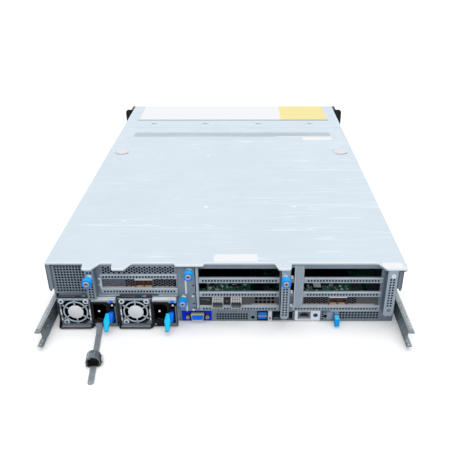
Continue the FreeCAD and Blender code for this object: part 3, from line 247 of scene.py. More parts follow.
M = {
    "cover": metal("cover_steel", (0.65, 0.745, 0.825), 0.12, 0.46, 60.0, 0.012, 0.8),
    # pale steel that mostly paints highlights: the cover's bright hem, white spots, ridges, pin tips and
    # edges that catch the light; it also colours real pale parts such as rivets, a plate and small board
    # parts
    "pale_and_highlight": metal("pale_and_highlight_steel", (0.86, 0.89, 0.92), 0.0, 0.35, 80.0, 0.01),
    # rim steel paints highlights along rib tops, slot, jack and housing edges, and also colours pale screw
    # heads and the clamp's thumb disc
    "rim": metal("pale_rim_and_highlight_steel", (0.76, 0.81, 0.86), 0.2, 0.35, 80.0, 0.04),
    "zinc": metal("zinc_steel", (0.24, 0.30, 0.36), 0.3, 0.40, 110.0, 0.08, 0.3),
    # lighter zinc for raised ribs, brackets and bands: partly painted light, as these faces are drawn
    # brighter than the zinc beside them
    "strip": metal("strip_steel", (0.40, 0.48, 0.56), 0.3, 0.38, 110.0, 0.06),
    # lit copy of zinc: painted light on bracket tops, rib and port edges, the power supply bay and highlight
    # strips on the clamp
    "zinc_lit": metal("zinc_lit_steel", (0.52, 0.60, 0.68), 0.35, 0.34, 110.0, 0.05),
    # shaded copy of zinc: painted shade on bracket side walls, the network jack's shell, a screw's ring and
    # edges of the power supplies; it also colours the grey plate under a power supply's lip
    "zinc_side_and_shade": metal("zinc_side_and_shade_steel", (0.15, 0.20, 0.27), 0.3, 0.45, 110.0, 0.06),
    # very dark zinc: painted shade under the cover's lip, under its vents, inside its folds, round the cover
    # buttons, on the inlet pins and along the power supplies; it also colours the real dark carrier faces at
    # the front
    "dark_zinc_and_shade": metal("dark_zinc_and_shade_steel", (0.05, 0.075, 0.11), 0.2, 0.5, 110.0, 0.06),
    "rail": metal("rail_steel", (0.27, 0.32, 0.35), 0.6, 0.30, 70.0, 0.16, 0.4),
    # painted highlight: bright lines along the rails' top flanges
    "rail_highlight": metal("rail_highlight_steel", (0.80, 0.82, 0.80), 0.5, 0.28, 70.0, 0.10),
    "bright": brushed("bright_steel", (0.80, 0.82, 0.85)),
    "warm_steel": brushed("warm_steel", (0.60, 0.55, 0.51), 0.5, 0.34),
    "card_steel": brushed("card_steel", (0.13, 0.14, 0.18), 0.5, 0.30, (0.15, 1, 1)),
    "card_dark": brushed("card_dark_steel", (0.11, 0.11, 0.12), 0.4, 0.34, (0.15, 1, 1)),
    "copper": brushed("copper_shell", (0.15, 0.08, 0.05), 0.5, 0.40),
    # painted highlight: warm bright lines on the lower edges of card slots and jack cages and on a power
    # supply's top
    "warm_highlight": brushed("warm_highlight_copper", (0.78, 0.64, 0.57), 0.2, 0.40),
    "brass": brushed("brass", (0.42, 0.35, 0.19), 0.7, 0.3),
    "pale_brass": brushed("pale_brass", (0.62, 0.60, 0.50), 0.6, 0.3),
    "aluminium": brushed("aluminium", (0.72, 0.74, 0.76), 0.85, 0.35, (1, 0.1, 1)),
    "guard": brushed("guard_steel", (0.60, 0.68, 0.76), 0.4, 0.3),
    "guard_dark": brushed("guard_side_steel", (0.22, 0.28, 0.34), 0.4, 0.35),
    "hub": metal("hub_disc", (0.82, 0.85, 0.90), 0.1, 0.4, 300.0, 0.02),
    # painted shade: flat black sheets and blocks behind holes, in bores, sockets and slots stand in for the
    # shade inside the server
    "painted_shade": plastic("painted_shade_black", (0.0015, 0.0016, 0.002), 0.9, 0.2, 0.05, 0.0, 0.0),
    "black": plastic("black_plastic", (0.006, 0.0065, 0.009), 0.5, 0.1, 0.15, 0.0, 0.2),
    "dark": plastic("dark_plastic", (0.026, 0.028, 0.034), 0.45, 0.1, 0.15, 0.0, 0.3),
    "brown_black": plastic("brown_black_label", (0.075, 0.068, 0.072), 0.4, 0.15, 0.15, 0.0, 0.3),
    "taupe": plastic("taupe_plastic", (0.26, 0.25, 0.26), 0.45, 0.15),
    "ear": plastic("ear_plastic", (0.012, 0.012, 0.016), 0.4, 0.1, 0.15, 0.0, 0.3),
    # cyan, ice, azure_deep and deep_blue are lighter and darker copies of one blue plastic: on the power
    # supply latches and the mezzanine lever they are painted light and painted shade
    "blue": plastic("blue_plastic", (0.012, 0.36, 0.86), 0.32, 0.05, 0.08, 0.3),
    "azure": plastic("azure_plastic", (0.002, 0.42, 0.97), 0.4, 0.05, 0.08, 0.0, 0.25),
    "azure_deep": plastic("azure_deep_plastic", (0.001, 0.24, 0.95), 0.4, 0.04, 0.08, 0.0, 0.25),
    "cyan": plastic("cyan_plastic", (0.004, 0.60, 0.95), 0.4, 0.05, 0.08, 0.0, 0.25),
    "ice": plastic("ice_plastic", (0.10, 0.70, 0.95), 0.4, 0.04, 0.08),
    "magenta": plastic("magenta_mark", (0.45, 0.01, 0.16), 0.5, 0.05),
    "deep_blue": plastic("deep_blue_plastic", (0.001, 0.20, 0.92), 0.5, 0.05, 0.08, 0.0, 0.15),
    "navy": plastic("navy_insert", (0.01, 0.05, 0.14), 0.4, 0.1),
    "port_blue": plastic("port_blue_plastic", (0.001, 0.03, 0.78), 0.5, 0.06, 0.1, 0.0, 0.1),
    "led_blue": plastic("led_blue_plastic", (0.004, 0.17, 0.92), 0.5, 0.05, 0.1, 0.0, 0.15),
    "usb_blue": plastic("usb_blue_plastic", (0.002, 0.22, 0.95), 0.5, 0.05, 0.1, 0.0, 0.2),
    "white": plastic("white_plastic", (0.80, 0.82, 0.85), 0.35, 0.02, 0.06),
    "button": plastic("button_plastic", (0.77, 0.73, 0.77), 0.45, 0.03, 0.1),
    "grey": plastic("grey_plastic", (0.17, 0.19, 0.21), 0.5, 0.08, 0.2),
    "strap": plastic("strap_plastic", (0.29, 0.325, 0.355), 0.42, 0.10, 0.15, 0.1),
    "clamp": plastic("clamp_plastic", (0.13, 0.145, 0.17), 0.22, 0.25, 0.05, 0.4),
    "pcb": board("green_board", (0.025, 0.16, 0.11)),
    "pcb_edge": plastic("board_edge", (0.03, 0.30, 0.07), 0.4, 0.1),
    "paper": paper("label_paper", (0.85, 0.87, 0.90)),
    "yellow": paper("yellow_label", (0.88, 0.76, 0.32), 0.06),
}


# ------------------------------------------------------------------ mesh building
class Piece:
    """One named piece of the object, collected from simple solids in millimetres."""

    def __init__(self, name):
        self.name = name
        self.mesh = bmesh.new()
        self.materials = []

    def add(self, mesh, material):
        if material not in self.materials:
            self.materials.append(material)
        index = self.materials.index(material)
        mesh.polygons.foreach_set("material_index", [index] * len(mesh.polygons))
        self.mesh.from_mesh(mesh)
        bpy.data.meshes.remove(mesh)

    def loft(self, rings, material):
        """Closed rings of points joined one to the next, with both ends capped."""
        count = len(rings[0])
        points = [p for ring in rings for p in ring]
        faces = []
        for k in range(len(rings) - 1):
            for i in range(count):
                n = (i + 1) % count
                faces.append((k * count + i, k * count + n, (k + 1) * count + n, (k + 1) * count + i))
        faces.append(tuple(range(count))[::-1])
        faces.append(tuple((len(rings) - 1) * count + i for i in range(count)))
        mesh = bpy.data.meshes.new("part")
        mesh.from_pydata(points, [], faces)
        self.add(mesh, material)

    def box(self, x0, x1, d0, d1, z0, z1, material):
        ring = [(x0, d0), (x1, d0), (x1, d1), (x0, d1)]
        self.loft([[at(x, d, z) for x, d in ring] for z in (z0, z1)], material)

    def along_y(self, outline, d0, d1, material):
        self.loft([[at(x, d, z) for x, z in outline] for d in (d0, d1)], material)

    def along_x(self, outline, x0, x1, material):
        self.loft([[at(x, d, z) for d, z in outline] for x in (x0, x1)], material)

    def along_z(self, outline, z0, z1, material):
        self.loft([[at(x, d, z) for x, d in outline] for z in (z0, z1)], material)

    def turned(self, centre, axis, profile, material, steps=32):
        """Profile of (radius, distance along the axis) spun round the axis through centre."""
        rings = []
        for radius, along in profile:
            ring = []
            for k in range(steps):
                a = 2 * math.pi * k / steps
                u = radius * math.cos(a)
                v = radius * math.sin(a)
                x, d, z = centre
                if axis == "y":
                    ring.append(at(x + u, d + along, z + v))
                elif axis == "z":
                    ring.append(at(x + u, d + v, z + along))
                else:
                    ring.append(at(x + along, d + u, z + v))
            rings.append(ring)
        self.loft(rings, material)

    def sheet(self, outline, holes, middle, thickness, material, upright=True, edge=0.0):
        """Flat sheet with holes, centred on middle: upright at a depth, or lying at a height."""
        curve = bpy.data.curves.new("outline", "CURVE")
        curve.dimensions = "2D"
        curve.fill_mode = "BOTH"
        curve.extrude = max(thickness / 2 - edge, 0.01) * MM
        curve.bevel_depth = edge * MM
        curve.bevel_resolution = 1
        shift = 0.0 if upright else REAR
        for ring in [outline] + list(holes):
            spline = curve.splines.new("POLY")
            spline.points.add(len(ring) - 1)
            for point, (a, b) in zip(spline.points, ring):
                point.co = (a * MM, (b + shift) * MM, 0, 1)
            spline.use_cyclic_u = True
        holder = bpy.data.objects.new("outline", curve)
        mesh = bpy.data.meshes.new_from_object(holder)
        bpy.data.objects.remove(holder)
        bpy.data.curves.remove(curve)
        if upright:
            mesh.transform(Matrix.Translation((0, (REAR + middle) * MM, 0)) @ Matrix.Rotation(math.pi / 2, 4,
                                                                                              "X"))
        else:
            mesh.transform(Matrix.Translation((0, 0, middle * MM)))
        self.add(mesh, material)

    def done(self, body, replaces, bevel=0.0):
        """Link the piece, on its body, in place of a CAD node if one is named."""
        mesh = bpy.data.meshes.new(self.name)
        bmesh.ops.recalc_face_normals(self.mesh, faces=self.mesh.faces)
        self.mesh.to_mesh(mesh)
        self.mesh.free()
        for material in self.materials:
            mesh.materials.append(M[material])
        piece = bpy.data.objects.new(self.name, mesh)
        bpy.context.scene.collection.objects.link(piece)
        mesh.shade_smooth()
        mesh.set_sharp_from_angle(angle=math.radians(30))
        if bevel:
            rounding = piece.modifiers.new("bevel", "BEVEL")
            rounding.width = bevel * MM
            rounding.segments = 2
            rounding.limit_method = "ANGLE"
            rounding.angle_limit = math.radians(40)
        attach(piece, body)
        if replaces:
            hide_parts(replaces)
        return piece


def rectangle(a0, a1, b0, b1):
    return [(a0, b0), (a1, b0), (a1, b1), (a0, b1)]


def rounded(a0, a1, b0, b1, r, steps=4):
    """Rectangle with round corners."""
    points = []
    corners = ((a1 - r, b1 - r, 0), (a0 + r, b1 - r, 90), (a0 + r, b0 + r, 180), (a1 - r, b0 + r, 270))
    for ca, cb, start in corners:
        for k in range(steps + 1):
            t = math.radians(start + 90 * k / steps)
            points.append((ca + r * math.cos(t), cb + r * math.sin(t)))
    return points


def regular(a, b, radius, sides, turn=0.0):
    return [(a + radius * math.cos(turn + 2 * math.pi * k / sides),
             b + radius * math.sin(turn + 2 * math.pi * k / sides)) for k in range(sides)]


def square(a, b, side=HOLE):
    return rounded(a - side / 2, a + side / 2, b - side / 2, b + side / 2, side * 0.2, 1)


def grid(a0, a1, b0, b1, pitch=HOLE_PITCH, side=HOLE):
    """Square holes at one pitch, centred in the given field."""
    across = int((a1 - a0) / pitch + 1e-6) + 1
    up = int((b1 - b0) / pitch + 1e-6) + 1
    first_a = (a0 + a1 - (across - 1) * pitch) / 2
    first_b = (b0 + b1 - (up - 1) * pitch) / 2
    return [square(first_a + i * pitch, first_b + j * pitch, side)
            for i in range(across) for j in range(up)]


def honeycomb(a0, a1, b0, b1, radius=HEX_RADIUS, pitch=HEX_PITCH):
    """Hexagonal holes in staggered columns, kept inside the given field."""
    column_pitch = pitch * math.sqrt(3) / 2
    columns = int((a1 - a0 - 2 * radius) / column_pitch + 1e-6) + 1
    up = int((b1 - b0 - 2 * radius) / pitch + 1e-6) + 1
    rim = (a1 - a0 - 2 * radius - (columns - 1) * column_pitch) / 2
    cells = []
    for j in range(columns):
        for i in range(up):
            b = b0 + radius + (i + 0.5 * (j % 2)) * pitch
            if b + radius <= b1 + 0.05:
                cells.append(regular(a0 + rim + radius + j * column_pitch, b, radius, 6))
    return cells


# ------------------------------------------------------------------ top cover
def cover_outline(far):
    """Rear edge with its tongues, then the straight front edge."""
    w = HALF_COVER
    out = depth(low("top_cover")[1])
    short = -6.0
    return [(-w, 0), (-172.5, 0), (-171, out + 1.5), (-169.5, out), (-161.5, out), (-159.5, out + 1),
            (-152, -0.8),
            (-150, 0), (-137, 0), (-135.5, out + 1.5), (-134, out), (-122, out), (-120, out + 1),
            (-113.5, -0.8),
            (-112, 0), (-62, 0), (-60, short), (-27, short), (-24.5, 0), (59, 0), (60.5, -0.8),
            (64.5, out + 1.2),
            (66.5, out), (78, out), (79.5, out + 1.5), (80.5, -1), (82, 0), (184, 0), (186, -0.8),
            (193, out + 1), (195, out), (w - 2.5, out), (w - 0.7, out + 0.7), (w, out + 2.5), (w, far),
            (-w, far)]


def side_flange(piece, side, far, foot):
    """Side flange of the cover, with its rounded rear fold."""
    w = HALF_COVER * side
    corner = 6.0
    arc = [(corner - corner * math.sin(math.radians(t)), foot + corner - corner * math.cos(math.radians(t)))
           for t in range(0, 91, 15)]
    outline = arc + [(0.0, COVER_FOOT + 0.4), (far, COVER_FOOT + 0.4), (far, foot)]
    piece.along_x(outline, *sorted((w, w - side)), "cover")
    fold = w - corner * side
    a, b = sorted((w, fold))
    piece.along_y(rounded(a, b, foot + corner, COVER_FOOT + 0.4, 1.2, 3), 0.0, 1.0, "zinc")
    # painted shade: a dark strip inside the fold
    a, b = sorted((fold + 0.4 * side, fold + 0.8 * side))
    piece.box(a, b, 0.0, 4.0, foot + corner + 1, COVER_FOOT, "dark_zinc_and_shade")


def label(piece, outline, top, material="paper"):
    piece.sheet(outline, [], top + LABEL / 2, LABEL, material, False)


def build_cover():
    far = depth(high("top_cover")[1])
    x_seat, d_seat, _ = centre("cover_button_right")
    holes = []
    for name in ("cover_button_left", "cover_button_right"):
        a, b, _ = centre(name)
        holes.append(regular(a, b, BUTTON_HOLE, 48))
    vent_pitch, vent_rows = 4.54, 6.6
    for row in range(4):
        for k in range(84 - row % 2):
            a = -188.0 + (k + 0.5 * (row % 2)) * vent_pitch
            b = 491.6 + row * vent_rows
            holes.append(rectangle(a - 1.5, a + 1.5, b - 2.6, b + 2.6))
    piece = Piece("cover_panel")
    piece.sheet(cover_outline(far), holes, COVER_TOP - SHEET / 2, SHEET, "cover", False, 0.3)
    # painted shade: a dark sheet under the vents
    piece.box(-190, 191, 488.5, 514.5, COVER_FOOT - 1.2, COVER_FOOT - 0.9, "dark_zinc_and_shade")
    for side in (-1, 1):
        side_flange(piece, side, far, low("top_cover")[2])
    # the rear hem is drawn in pale steel as a painted highlight, with a dark strip behind it as painted shade
    profile = ((-0.15, COVER_FOOT - 0.75), (-0.15, COVER_TOP - 0.55), (0.05, COVER_TOP - 0.15),
               (0.45, COVER_TOP + 0.02), (2.0, COVER_TOP + 0.03), (2.3, COVER_TOP - 0.2),
               (0.8, COVER_FOOT - 0.75))
    edge = cover_outline(far)[:-2]
    for (a0, b0), (a1, b1) in zip(edge[:-1], edge[1:]):
        piece.loft([[at(a, b + d, z) for d, z in profile] for a, b in ((a0, b0), (a1, b1))], "pale_and_highlight")
        piece.box(min(a0, a1) + 0.3, max(a0, a1) - 0.3, max(b0, b1) + 1.2, max(b0, b1) + 1.8,
                  COVER_FOOT - 3.0, COVER_FOOT, "dark_zinc_and_shade")
    for side in (-1, 1):
        x = side * x_seat
        piece.box(x - 14, x + 14, d_seat - 14, d_seat + 14, COVER_FOOT - 5, COVER_FOOT - 4, "zinc")
        for wall in (-14, 13):
            piece.box(x + wall, x + wall + 1, d_seat - 14, d_seat + 14, COVER_FOOT - 5, COVER_FOOT, "zinc")
    piece.done("cover", "top_cover")


def build_cover_marks():
    """Blank labels and small rivets on the cover."""
    marks = Piece("cover_marks")
    for outline in (rectangle(-14, 40, 3.5, 22), rounded(190, 214.5, -12.0, 0.8, 3, 4),
                    rectangle(86, 135, 484.5, 490.0), rectangle(135, 190, 467, 489.5)):
        label(marks, outline, COVER_TOP)
    for x, d, r in ((-203, 367, 2.0), (-188, 367, 2.0), (187, 371, 2.0), (203, 371, 2.0), (-32, 164, 3.4),
                    (96, 165, 3.4), (193, 528, 2.2), (-40, 383, 3.2)):
        marks.turned((x, d, COVER_TOP), "z", [(r, 0.0), (r * 0.7, 0.16)], "pale_and_highlight", 16)
    marks.done("cover", None)


def build_buttons():
    for side in ("left", "right"):
        name = "cover_button_" + side
        lo, hi = low(name), high(name)
        x, d, _ = centre(name)
        r = (hi[0] - lo[0]) / 2
        tall = hi[2] - lo[2]
        piece = Piece("button_" + side)
        profile = [(r - 2, 0), (r, 0.4), (r, tall - 0.5), (r - 0.5, tall - 0.1), (r - 1.6, tall)]
        piece.turned((x, d, lo[2]), "z", profile, "button", 48)
        piece.turned((x, d, hi[2] - 0.3), "z", [(r - 2.4, 0.31), (r - 3.0, 0.36)], "button", 48)
        piece.done(name, name)
        # painted shade: dark crescents on the cover at the left and right of each button
        rim = Piece("button_shade_crescents_" + side)
        for start in (100, 280):
            angles = [math.radians(start + k * 110 / 12 - 55) for k in range(13)]
            outer = [(x + 13.6 * math.cos(t), d + 13.6 * math.sin(t)) for t in angles]
            inner = [(x + BUTTON_HOLE * math.cos(t), d + BUTTON_HOLE * math.sin(t)) for t in angles]
            rim.sheet(outer + inner[::-1], [], COVER_TOP + 0.05, 0.1, "dark_zinc_and_shade", False)
        rim.done("cover", None)


def build_front_top():
    top = high("front_top_panel")[2]
    near, far = depth(low("front_top_panel")[1]), depth(high("front_top_panel")[1])
    marks = Piece("front_labels")
    label(marks, rectangle(-195, 100, far - 105, far - 2), top)
    label(marks, rectangle(100, 196, far - 105, far - 2), top, "yellow")
    marks.box(-197, 198, far - 109, far - 105.4, top - 0.1, top + 0.1, "dark_zinc_and_shade")
    for x in (-160, -55, 53, 158):
        dent = [(x - 6, near + 27), (x + 5, near + 25), (x + 6, near + 28), (x - 4, near + 31)]
        marks.along_z(dent, top - 0.1, top + 0.08, "zinc")
        dent = [(x - 6, near + 26), (x + 1, near + 25), (x - 2, near + 27)]
        marks.along_z(dent, top - 0.1, top + 0.1, "dark_zinc_and_shade")
    marks.done("chassis", None)


# ------------------------------------------------------------------ rear sheet metal
def front_of(name, grow=0.0):
    """Rectangle across a CAD node, seen from behind."""
    lo, hi = low(name), high(name)
    return rectangle(lo[0] - grow, hi[0] + grow, lo[2] - grow, hi[2] + grow)


def build_vent_panel():
    lo, hi = low("rear_vent_panel"), high("rear_vent_panel")
    front = depth(lo[1])
    piece = Piece("vent_panel")
    holes = grid(lo[0] + 4.0, hi[0] - 1.8, lo[2] + 2.8, hi[2] - 3.0)
    piece.sheet(front_of("rear_vent_panel"), holes, front + THIN / 2, THIN, "zinc", True, 0.1)
    # painted shade: a black sheet behind the holes and a dark band under the cover's lip
    piece.box(lo[0] + 1, hi[0] - 0.2, front + 0.7, front + SHEET, lo[2] + 1, hi[2] - 1, "painted_shade")
    piece.box(lo[0], hi[0], front - 0.5, front, hi[2] - 1.6, hi[2], "dark_zinc_and_shade")
    piece.done("chassis", "rear_vent_panel")


def knob_places():
    """Centre, and depth of the face that each thumbscrew sits on."""
    places = {}
    for name in ("left", "middle_upper", "middle_lower", "right"):
        x, _, z = centre("thumbscrew_" + name)
        places[name] = (x, z, depth(low("thumbscrew_" + name)[1]) + KNOB_LENGTH)
    return places


def bracket(piece, x0, x1, foot, wall_side, fields, screw=None, cut=3.0, material="zinc"):
    """Perforated channel that stands proud of its cage; its lower corners are clipped."""
    face = BRACKET_FACE
    middle = (x0 + x1) / 2
    holes = []
    for z0, z1 in fields:
        holes += grid(middle - HOLE_PITCH / 2, middle + HOLE_PITCH / 2, z0, z1, HOLE_PITCH, 2.85)
    if screw:
        holes.append(regular(screw[0], screw[1], 2.05, 16))
    outline = [(x0 + cut, foot), (x1 - cut, foot), (x1, foot + cut), (x1, CAGE_TOP), (x0, CAGE_TOP),
               (x0, foot + cut)]
    piece.sheet(outline, holes, face + THIN / 2, THIN, material, True, 0.25)
    # painted shade behind the holes and on the side wall, painted light on the top band
    for z0, z1 in fields:
        piece.box(middle - 3.6, middle + 3.6, face + 0.7, face + 1.0, z0 - 1.8, z1 + 1.8, "painted_shade")
    wall = x0 if wall_side < 0 else x1 - SHEET
    piece.box(wall, wall + SHEET, face + 0.1, SHEET, foot + cut, CAGE_TOP, "zinc_side_and_shade")
    piece.box(x0 + 0.2, x1 - 0.2, face + 0.1, face + 3.0, CAGE_TOP - 0.9, CAGE_TOP, "zinc_lit")


def strip(piece, x0, x1, z0, z1, hole_z, proud=1.0, pitch=HOLE_PITCH):
    """Raised rib across a cage with one row of punched holes."""
    count = int((x1 - x0 - 4) / pitch)
    first = (x0 + x1 - (count - 1) * pitch) / 2
    holes = [[(first + k * pitch - 1.4, hole_z - 1.5), (first + k * pitch + 1.0, hole_z - 1.5),
              (first + k * pitch + 1.4, hole_z + 1.5), (first + k * pitch - 0.95, hole_z + 1.5)]
             for k in range(count)]
    piece.sheet(rectangle(x0, x1, z0, z1), holes, 0.2 - proud, 0.4, "strip", True, 0.1)
    # a painted highlight along the top edge, a lighter lower edge as painted light, and painted shade behind
    # the holes
    piece.box(x0, x1, -proud - 0.15, 0.3, z1 - 0.8, z1, "rim")
    piece.box(x0, x1, -proud - 0.1, 0.3, z0, z0 + 0.6, "zinc_lit")
    piece.box(x0 + 1, x1 - 1, 0.5 - proud, 0.25, hole_z - 1.8, hole_z + 1.8, "painted_shade")


def slot_cuts(x0, x1):
    """Three card slots, one above the other."""
    return [rectangle(x0, x1, FIRST_SLOT + k * SLOT_PITCH, FIRST_SLOT + k * SLOT_PITCH + SLOT_HEIGHT)
            for k in range(3)]


def slot_strips(piece, x0, x1, first):
    """Ribs between three card slots, and a longer one under them that starts at first."""
    for k in range(2):
        z0 = FIRST_SLOT + k * SLOT_PITCH + SLOT_HEIGHT + 0.3
        strip(piece, x0, x1, z0, z0 + 7.0, z0 + 2.9)
    strip(piece, first, x1, 18.6, 25.4, 20.4, 0.8)


def cage_walls(piece, x0, x1, wall):
    """Inner wall and foot of a cage with three slots."""
    piece.box(wall - SHEET, wall, SHEET, CAGE_DEPTH, CAGE_FOOT, CAGE_TOP, "black")
    piece.box(x0, x1, SHEET, 14, CAGE_FOOT, CAGE_FOOT + SHEET, "zinc")


def build_left_cage():
    lo, hi = low("riser_cage_left"), high("riser_cage_left")
    x0, x1 = -159.0, hi[0]
    window = (-152.0, -60.7)
    knob = knob_places()["left"]
    piece = Piece("left_cage")
    cuts = [rectangle(window[0], window[1], LEFT_SLOT, LEFT_SLOT + SLOT_HEIGHT)]
    cuts += honeycomb(window[0] + 0.5, window[1] - 0.4, 71.6, CAGE_TOP - 0.5)
    piece.sheet(rectangle(x0, x1, BAY_TOP, CAGE_TOP), cuts, THIN / 2, THIN, "zinc", True, 0.1)
    # painted shade behind the honeycomb
    piece.box(window[0] - 1, window[1] + 0.5, 0.7, SHEET, 71.0, CAGE_TOP - 0.2, "painted_shade")
    piece.box(x0, window[0] - 0.2, 0.6, SHEET, BAY_TOP, CAGE_TOP, "zinc")
    bracket(piece, lo[0], -157.8, BAY_TOP + 0.1, 1, [(45.0, 66.5), (80.9, 81.0)], knob)
    strip(piece, window[0] - 2, x1, 65.2, 71.0, 67.6)
    strip(piece, window[0] - 2, x1, 44.4, 51.2, 46.6)
    piece.box(x1 - SHEET, x1, 0.6, CAGE_DEPTH, BAY_TOP, CAGE_TOP, "zinc")
    piece.box(x0, x1, 0.6, 14, BAY_TOP, BAY_TOP + SHEET, "zinc")
    # painted highlights beside the slot
    piece.box(-154.6, -152.6, -0.8, 0, LEFT_SLOT - 1, LEFT_SLOT + SLOT_HEIGHT + 1, "rim")
    piece.box(-156.4, -154.0, -1.6, 0, 55.6, 57.6, "rim")
    piece.box(-156.4, -154.0, -1.6, 0, 64.6, 66.4, "pale_and_highlight")
    piece.done("chassis", "riser_cage_left")


def build_middle_cage():
    x0, x1 = low("riser_cage_middle")[0], high("riser_cage_middle")[0]
    window = (-33.0, 67.1)
    places = knob_places()
    upper, lower = places["middle_upper"], places["middle_lower"]
    piece = Piece("middle_cage")
    cuts = slot_cuts(*window)
    for screw in (upper, lower):
        cuts.append(regular(screw[0], screw[1], 2.05, 16))
    for z in (55.0, 42.0, 28.0, 21.5):
        cuts.append(regular(-39.8, z, 1.4, 8))
    piece.sheet(rectangle(x0, x1, CAGE_FOOT, CAGE_TOP), cuts, SHEET / 2, SHEET, "zinc", True, 0.15)
    # painted highlights: white spots under two of the small holes
    for z in (42.0, 21.5):
        piece.box(-42.2, -39.6, -0.7, 0.0, z - 3.6, z - 1.6, "pale_and_highlight")
    slot_strips(piece, window[0] + 0.5, window[1], window[0] + 0.5)
    # a ridge drawn bright and a slanted band drawn lighter, as painted highlight and painted light
    for z0, z1 in ((CAGE_FOOT, lower[1] - 6.6), (lower[1] + 6.6, upper[1] - 6.6)):
        piece.loft([[at(-50.2, 0, z), at(-49.6, -1.1, z), at(-48.6, -1.1, z), at(-48.0, 0, z)] for z in (z0,
                                                                                                         z1)],
                   "pale_and_highlight")
    piece.along_y([(-36.4, CAGE_FOOT + 3), (-33.6, CAGE_FOOT + 6), (-33.6, CAGE_TOP - 3),
                   (-36.4, CAGE_TOP - 1)], -0.9,
                  0.0, "zinc_lit")
    piece.box(-37.6, -36.5, -0.3, 0.0, CAGE_FOOT + 3, CAGE_TOP - 2, "dark")
    cage_walls(piece, x0, x1, window[0] - 3.8)
    piece.done("chassis", "riser_cage_middle")


def build_right_cage():
    lo, hi = low("riser_cage_right"), high("riser_cage_right")
    x0, x1 = 77.3, 197.5
    window = (97.0, 192.0)
    knob = knob_places()["right"]
    piece = Piece("right_cage")
    cuts = slot_cuts(*window)
    for z0, z1 in ((28, 39), (44, 59), (65, 80.5)):
        cuts.append(rectangle(80.6, 85.2, z0, z1))
    piece.sheet(rectangle(x0, x1, CAGE_FOOT, CAGE_TOP), cuts, SHEET / 2, SHEET, "zinc", True, 0.15)
    slot_strips(piece, window[0], window[1] + 2.5, 84.0)
    piece.along_y([(86.0, CAGE_FOOT + 6), (96.0, CAGE_FOOT + 6), (96.0, CAGE_TOP - 1), (86.0, CAGE_TOP - 1)],
                  -1.0, 0.0,
                  "strip")
    # painted light on the flange's edges
    piece.box(95.2, 96.3, -1.4, 0.0, CAGE_FOOT + 6, CAGE_TOP - 1, "zinc_lit")
    piece.box(85.6, 86.4, -1.2, 0.0, CAGE_FOOT + 6, CAGE_TOP - 1, "rim")
    # painted highlights: white spots beside the cut-outs
    for z in (67, 46, 25.5):
        piece.box(81.0, 83.6, -0.9, 0.6, z - 2.0, z + 2.0, "pale_and_highlight")
    piece.box(80.8, 85.0, 1.4, 1.8, 28.4, 38.6, "grey")
    # painted shade behind the cut-outs
    piece.box(80.4, 85.4, 2.0, 2.6, 43.0, 82.0, "painted_shade")
    cage_walls(piece, x0, x1, window[0] - 3.8)
    bracket(piece, 68.6, 78.5, lo[2], 1, [(19.9, 57.5)], knob, material="strip")
    bracket(piece, 196.3, hi[0], lo[2] + 4.6, -1, [(33.8, 71.4)], None, material="strip")
    face = BRACKET_FACE
    piece.turned((202.9, face, 76.6), "y", [(2.6, -1.2), (2.9, -0.5), (2.9, 0.3)], "pale_and_highlight", 20)
    piece.box(202.2, 203.6, face - 1.25, face - 1.1, 76.4, 76.8, "dark_zinc_and_shade")
    piece.turned((202.6, face, 27.2), "y", [(2.2, -0.25), (2.5, 0.05)], "zinc_side_and_shade", 20)
    piece.turned((202.6, face - 0.2, 27.2), "y", [(1.4, -0.12), (1.4, 0.05)], "zinc", 16)
    piece.done("chassis", "riser_cage_right")


def build_io_panel():
    lo, hi = low("rear_io_panel"), high("rear_io_panel")
    module = low("mezzanine_module"), high("mezzanine_module")
    button_x, _, button_z = centre("id_button")
    cuts = [rectangle(*DISPLAY_PORT),
            front_of("usb_ports"),
            rectangle(59.0, 87.0, 1.2, 15.0),
            front_of("lan_port"),
            rectangle(module[0][0] - 0.3, module[1][0] + 0.3, SHEET, module[1][2] + 0.3),
            regular(34.5, 5.5, 2.5, 20),
            regular(207.5, 8.0, 2.3, 20),
            regular(button_x, button_z, 2.9, 20)]
    cuts += grid(-11.2, 27.2, 3.6, 10.4, 3.4, 2.75)
    piece = Piece("io_panel")
    piece.sheet(rectangle(lo[0], hi[0], 0.05, CAGE_FOOT), cuts, PANEL_SET + THIN / 2, THIN, "zinc", True, 0.1)
    # painted shade behind the vent holes and the hole by the edge
    for a, b in ((-13.0, 38.0), (204.5, hi[0] - 0.2)):
        piece.box(a, b, PANEL_SET + 0.7, PANEL_SET + SHEET, 1.5, 13.5, "painted_shade")
    piece.box(lo[0], 207.8, PANEL_SET + SHEET, PANEL_SET + SHEET + 9, CAGE_FOOT - SHEET, CAGE_FOOT, "zinc")
    # painted shade: short black dashes for slots
    for k in range(11):
        x = -9.4 + 3.75 * k
        piece.along_y([(x - 1.2, 15.2), (x + 0.8, 15.2), (x + 1.2, 16.8), (x - 0.8, 16.8)], PANEL_SET - 0.12,
                      PANEL_SET, "painted_shade")
    plate_cuts = [rounded(93.4, 106.6, 4.2, 14.2, 0.8, 2), regular(button_x, button_z, 3.1, 24)]
    piece.sheet(rounded(88.2, 120.4, 0.9, 17.1, 0.8, 2), plate_cuts, PANEL_SET - 0.25, 0.5, "pale_and_highlight")
    piece.box(53.8, 58.6, -0.2, 3.0, 1.0, 16.6, "rim")
    piece.along_y(rounded(55.4, 57.2, 3.8, 7.6, 0.9, 3), -0.35, 0.0, "black")
    # painted highlights along edges
    piece.box(133.0, 195.5, 0.6, 2.2, 16.1, 17.25, "pale_and_highlight")
    piece.box(59.0, 87.2, 0.6, 2.0, 0.4, 1.2, "rim")
    piece.done("chassis", "rear_io_panel")


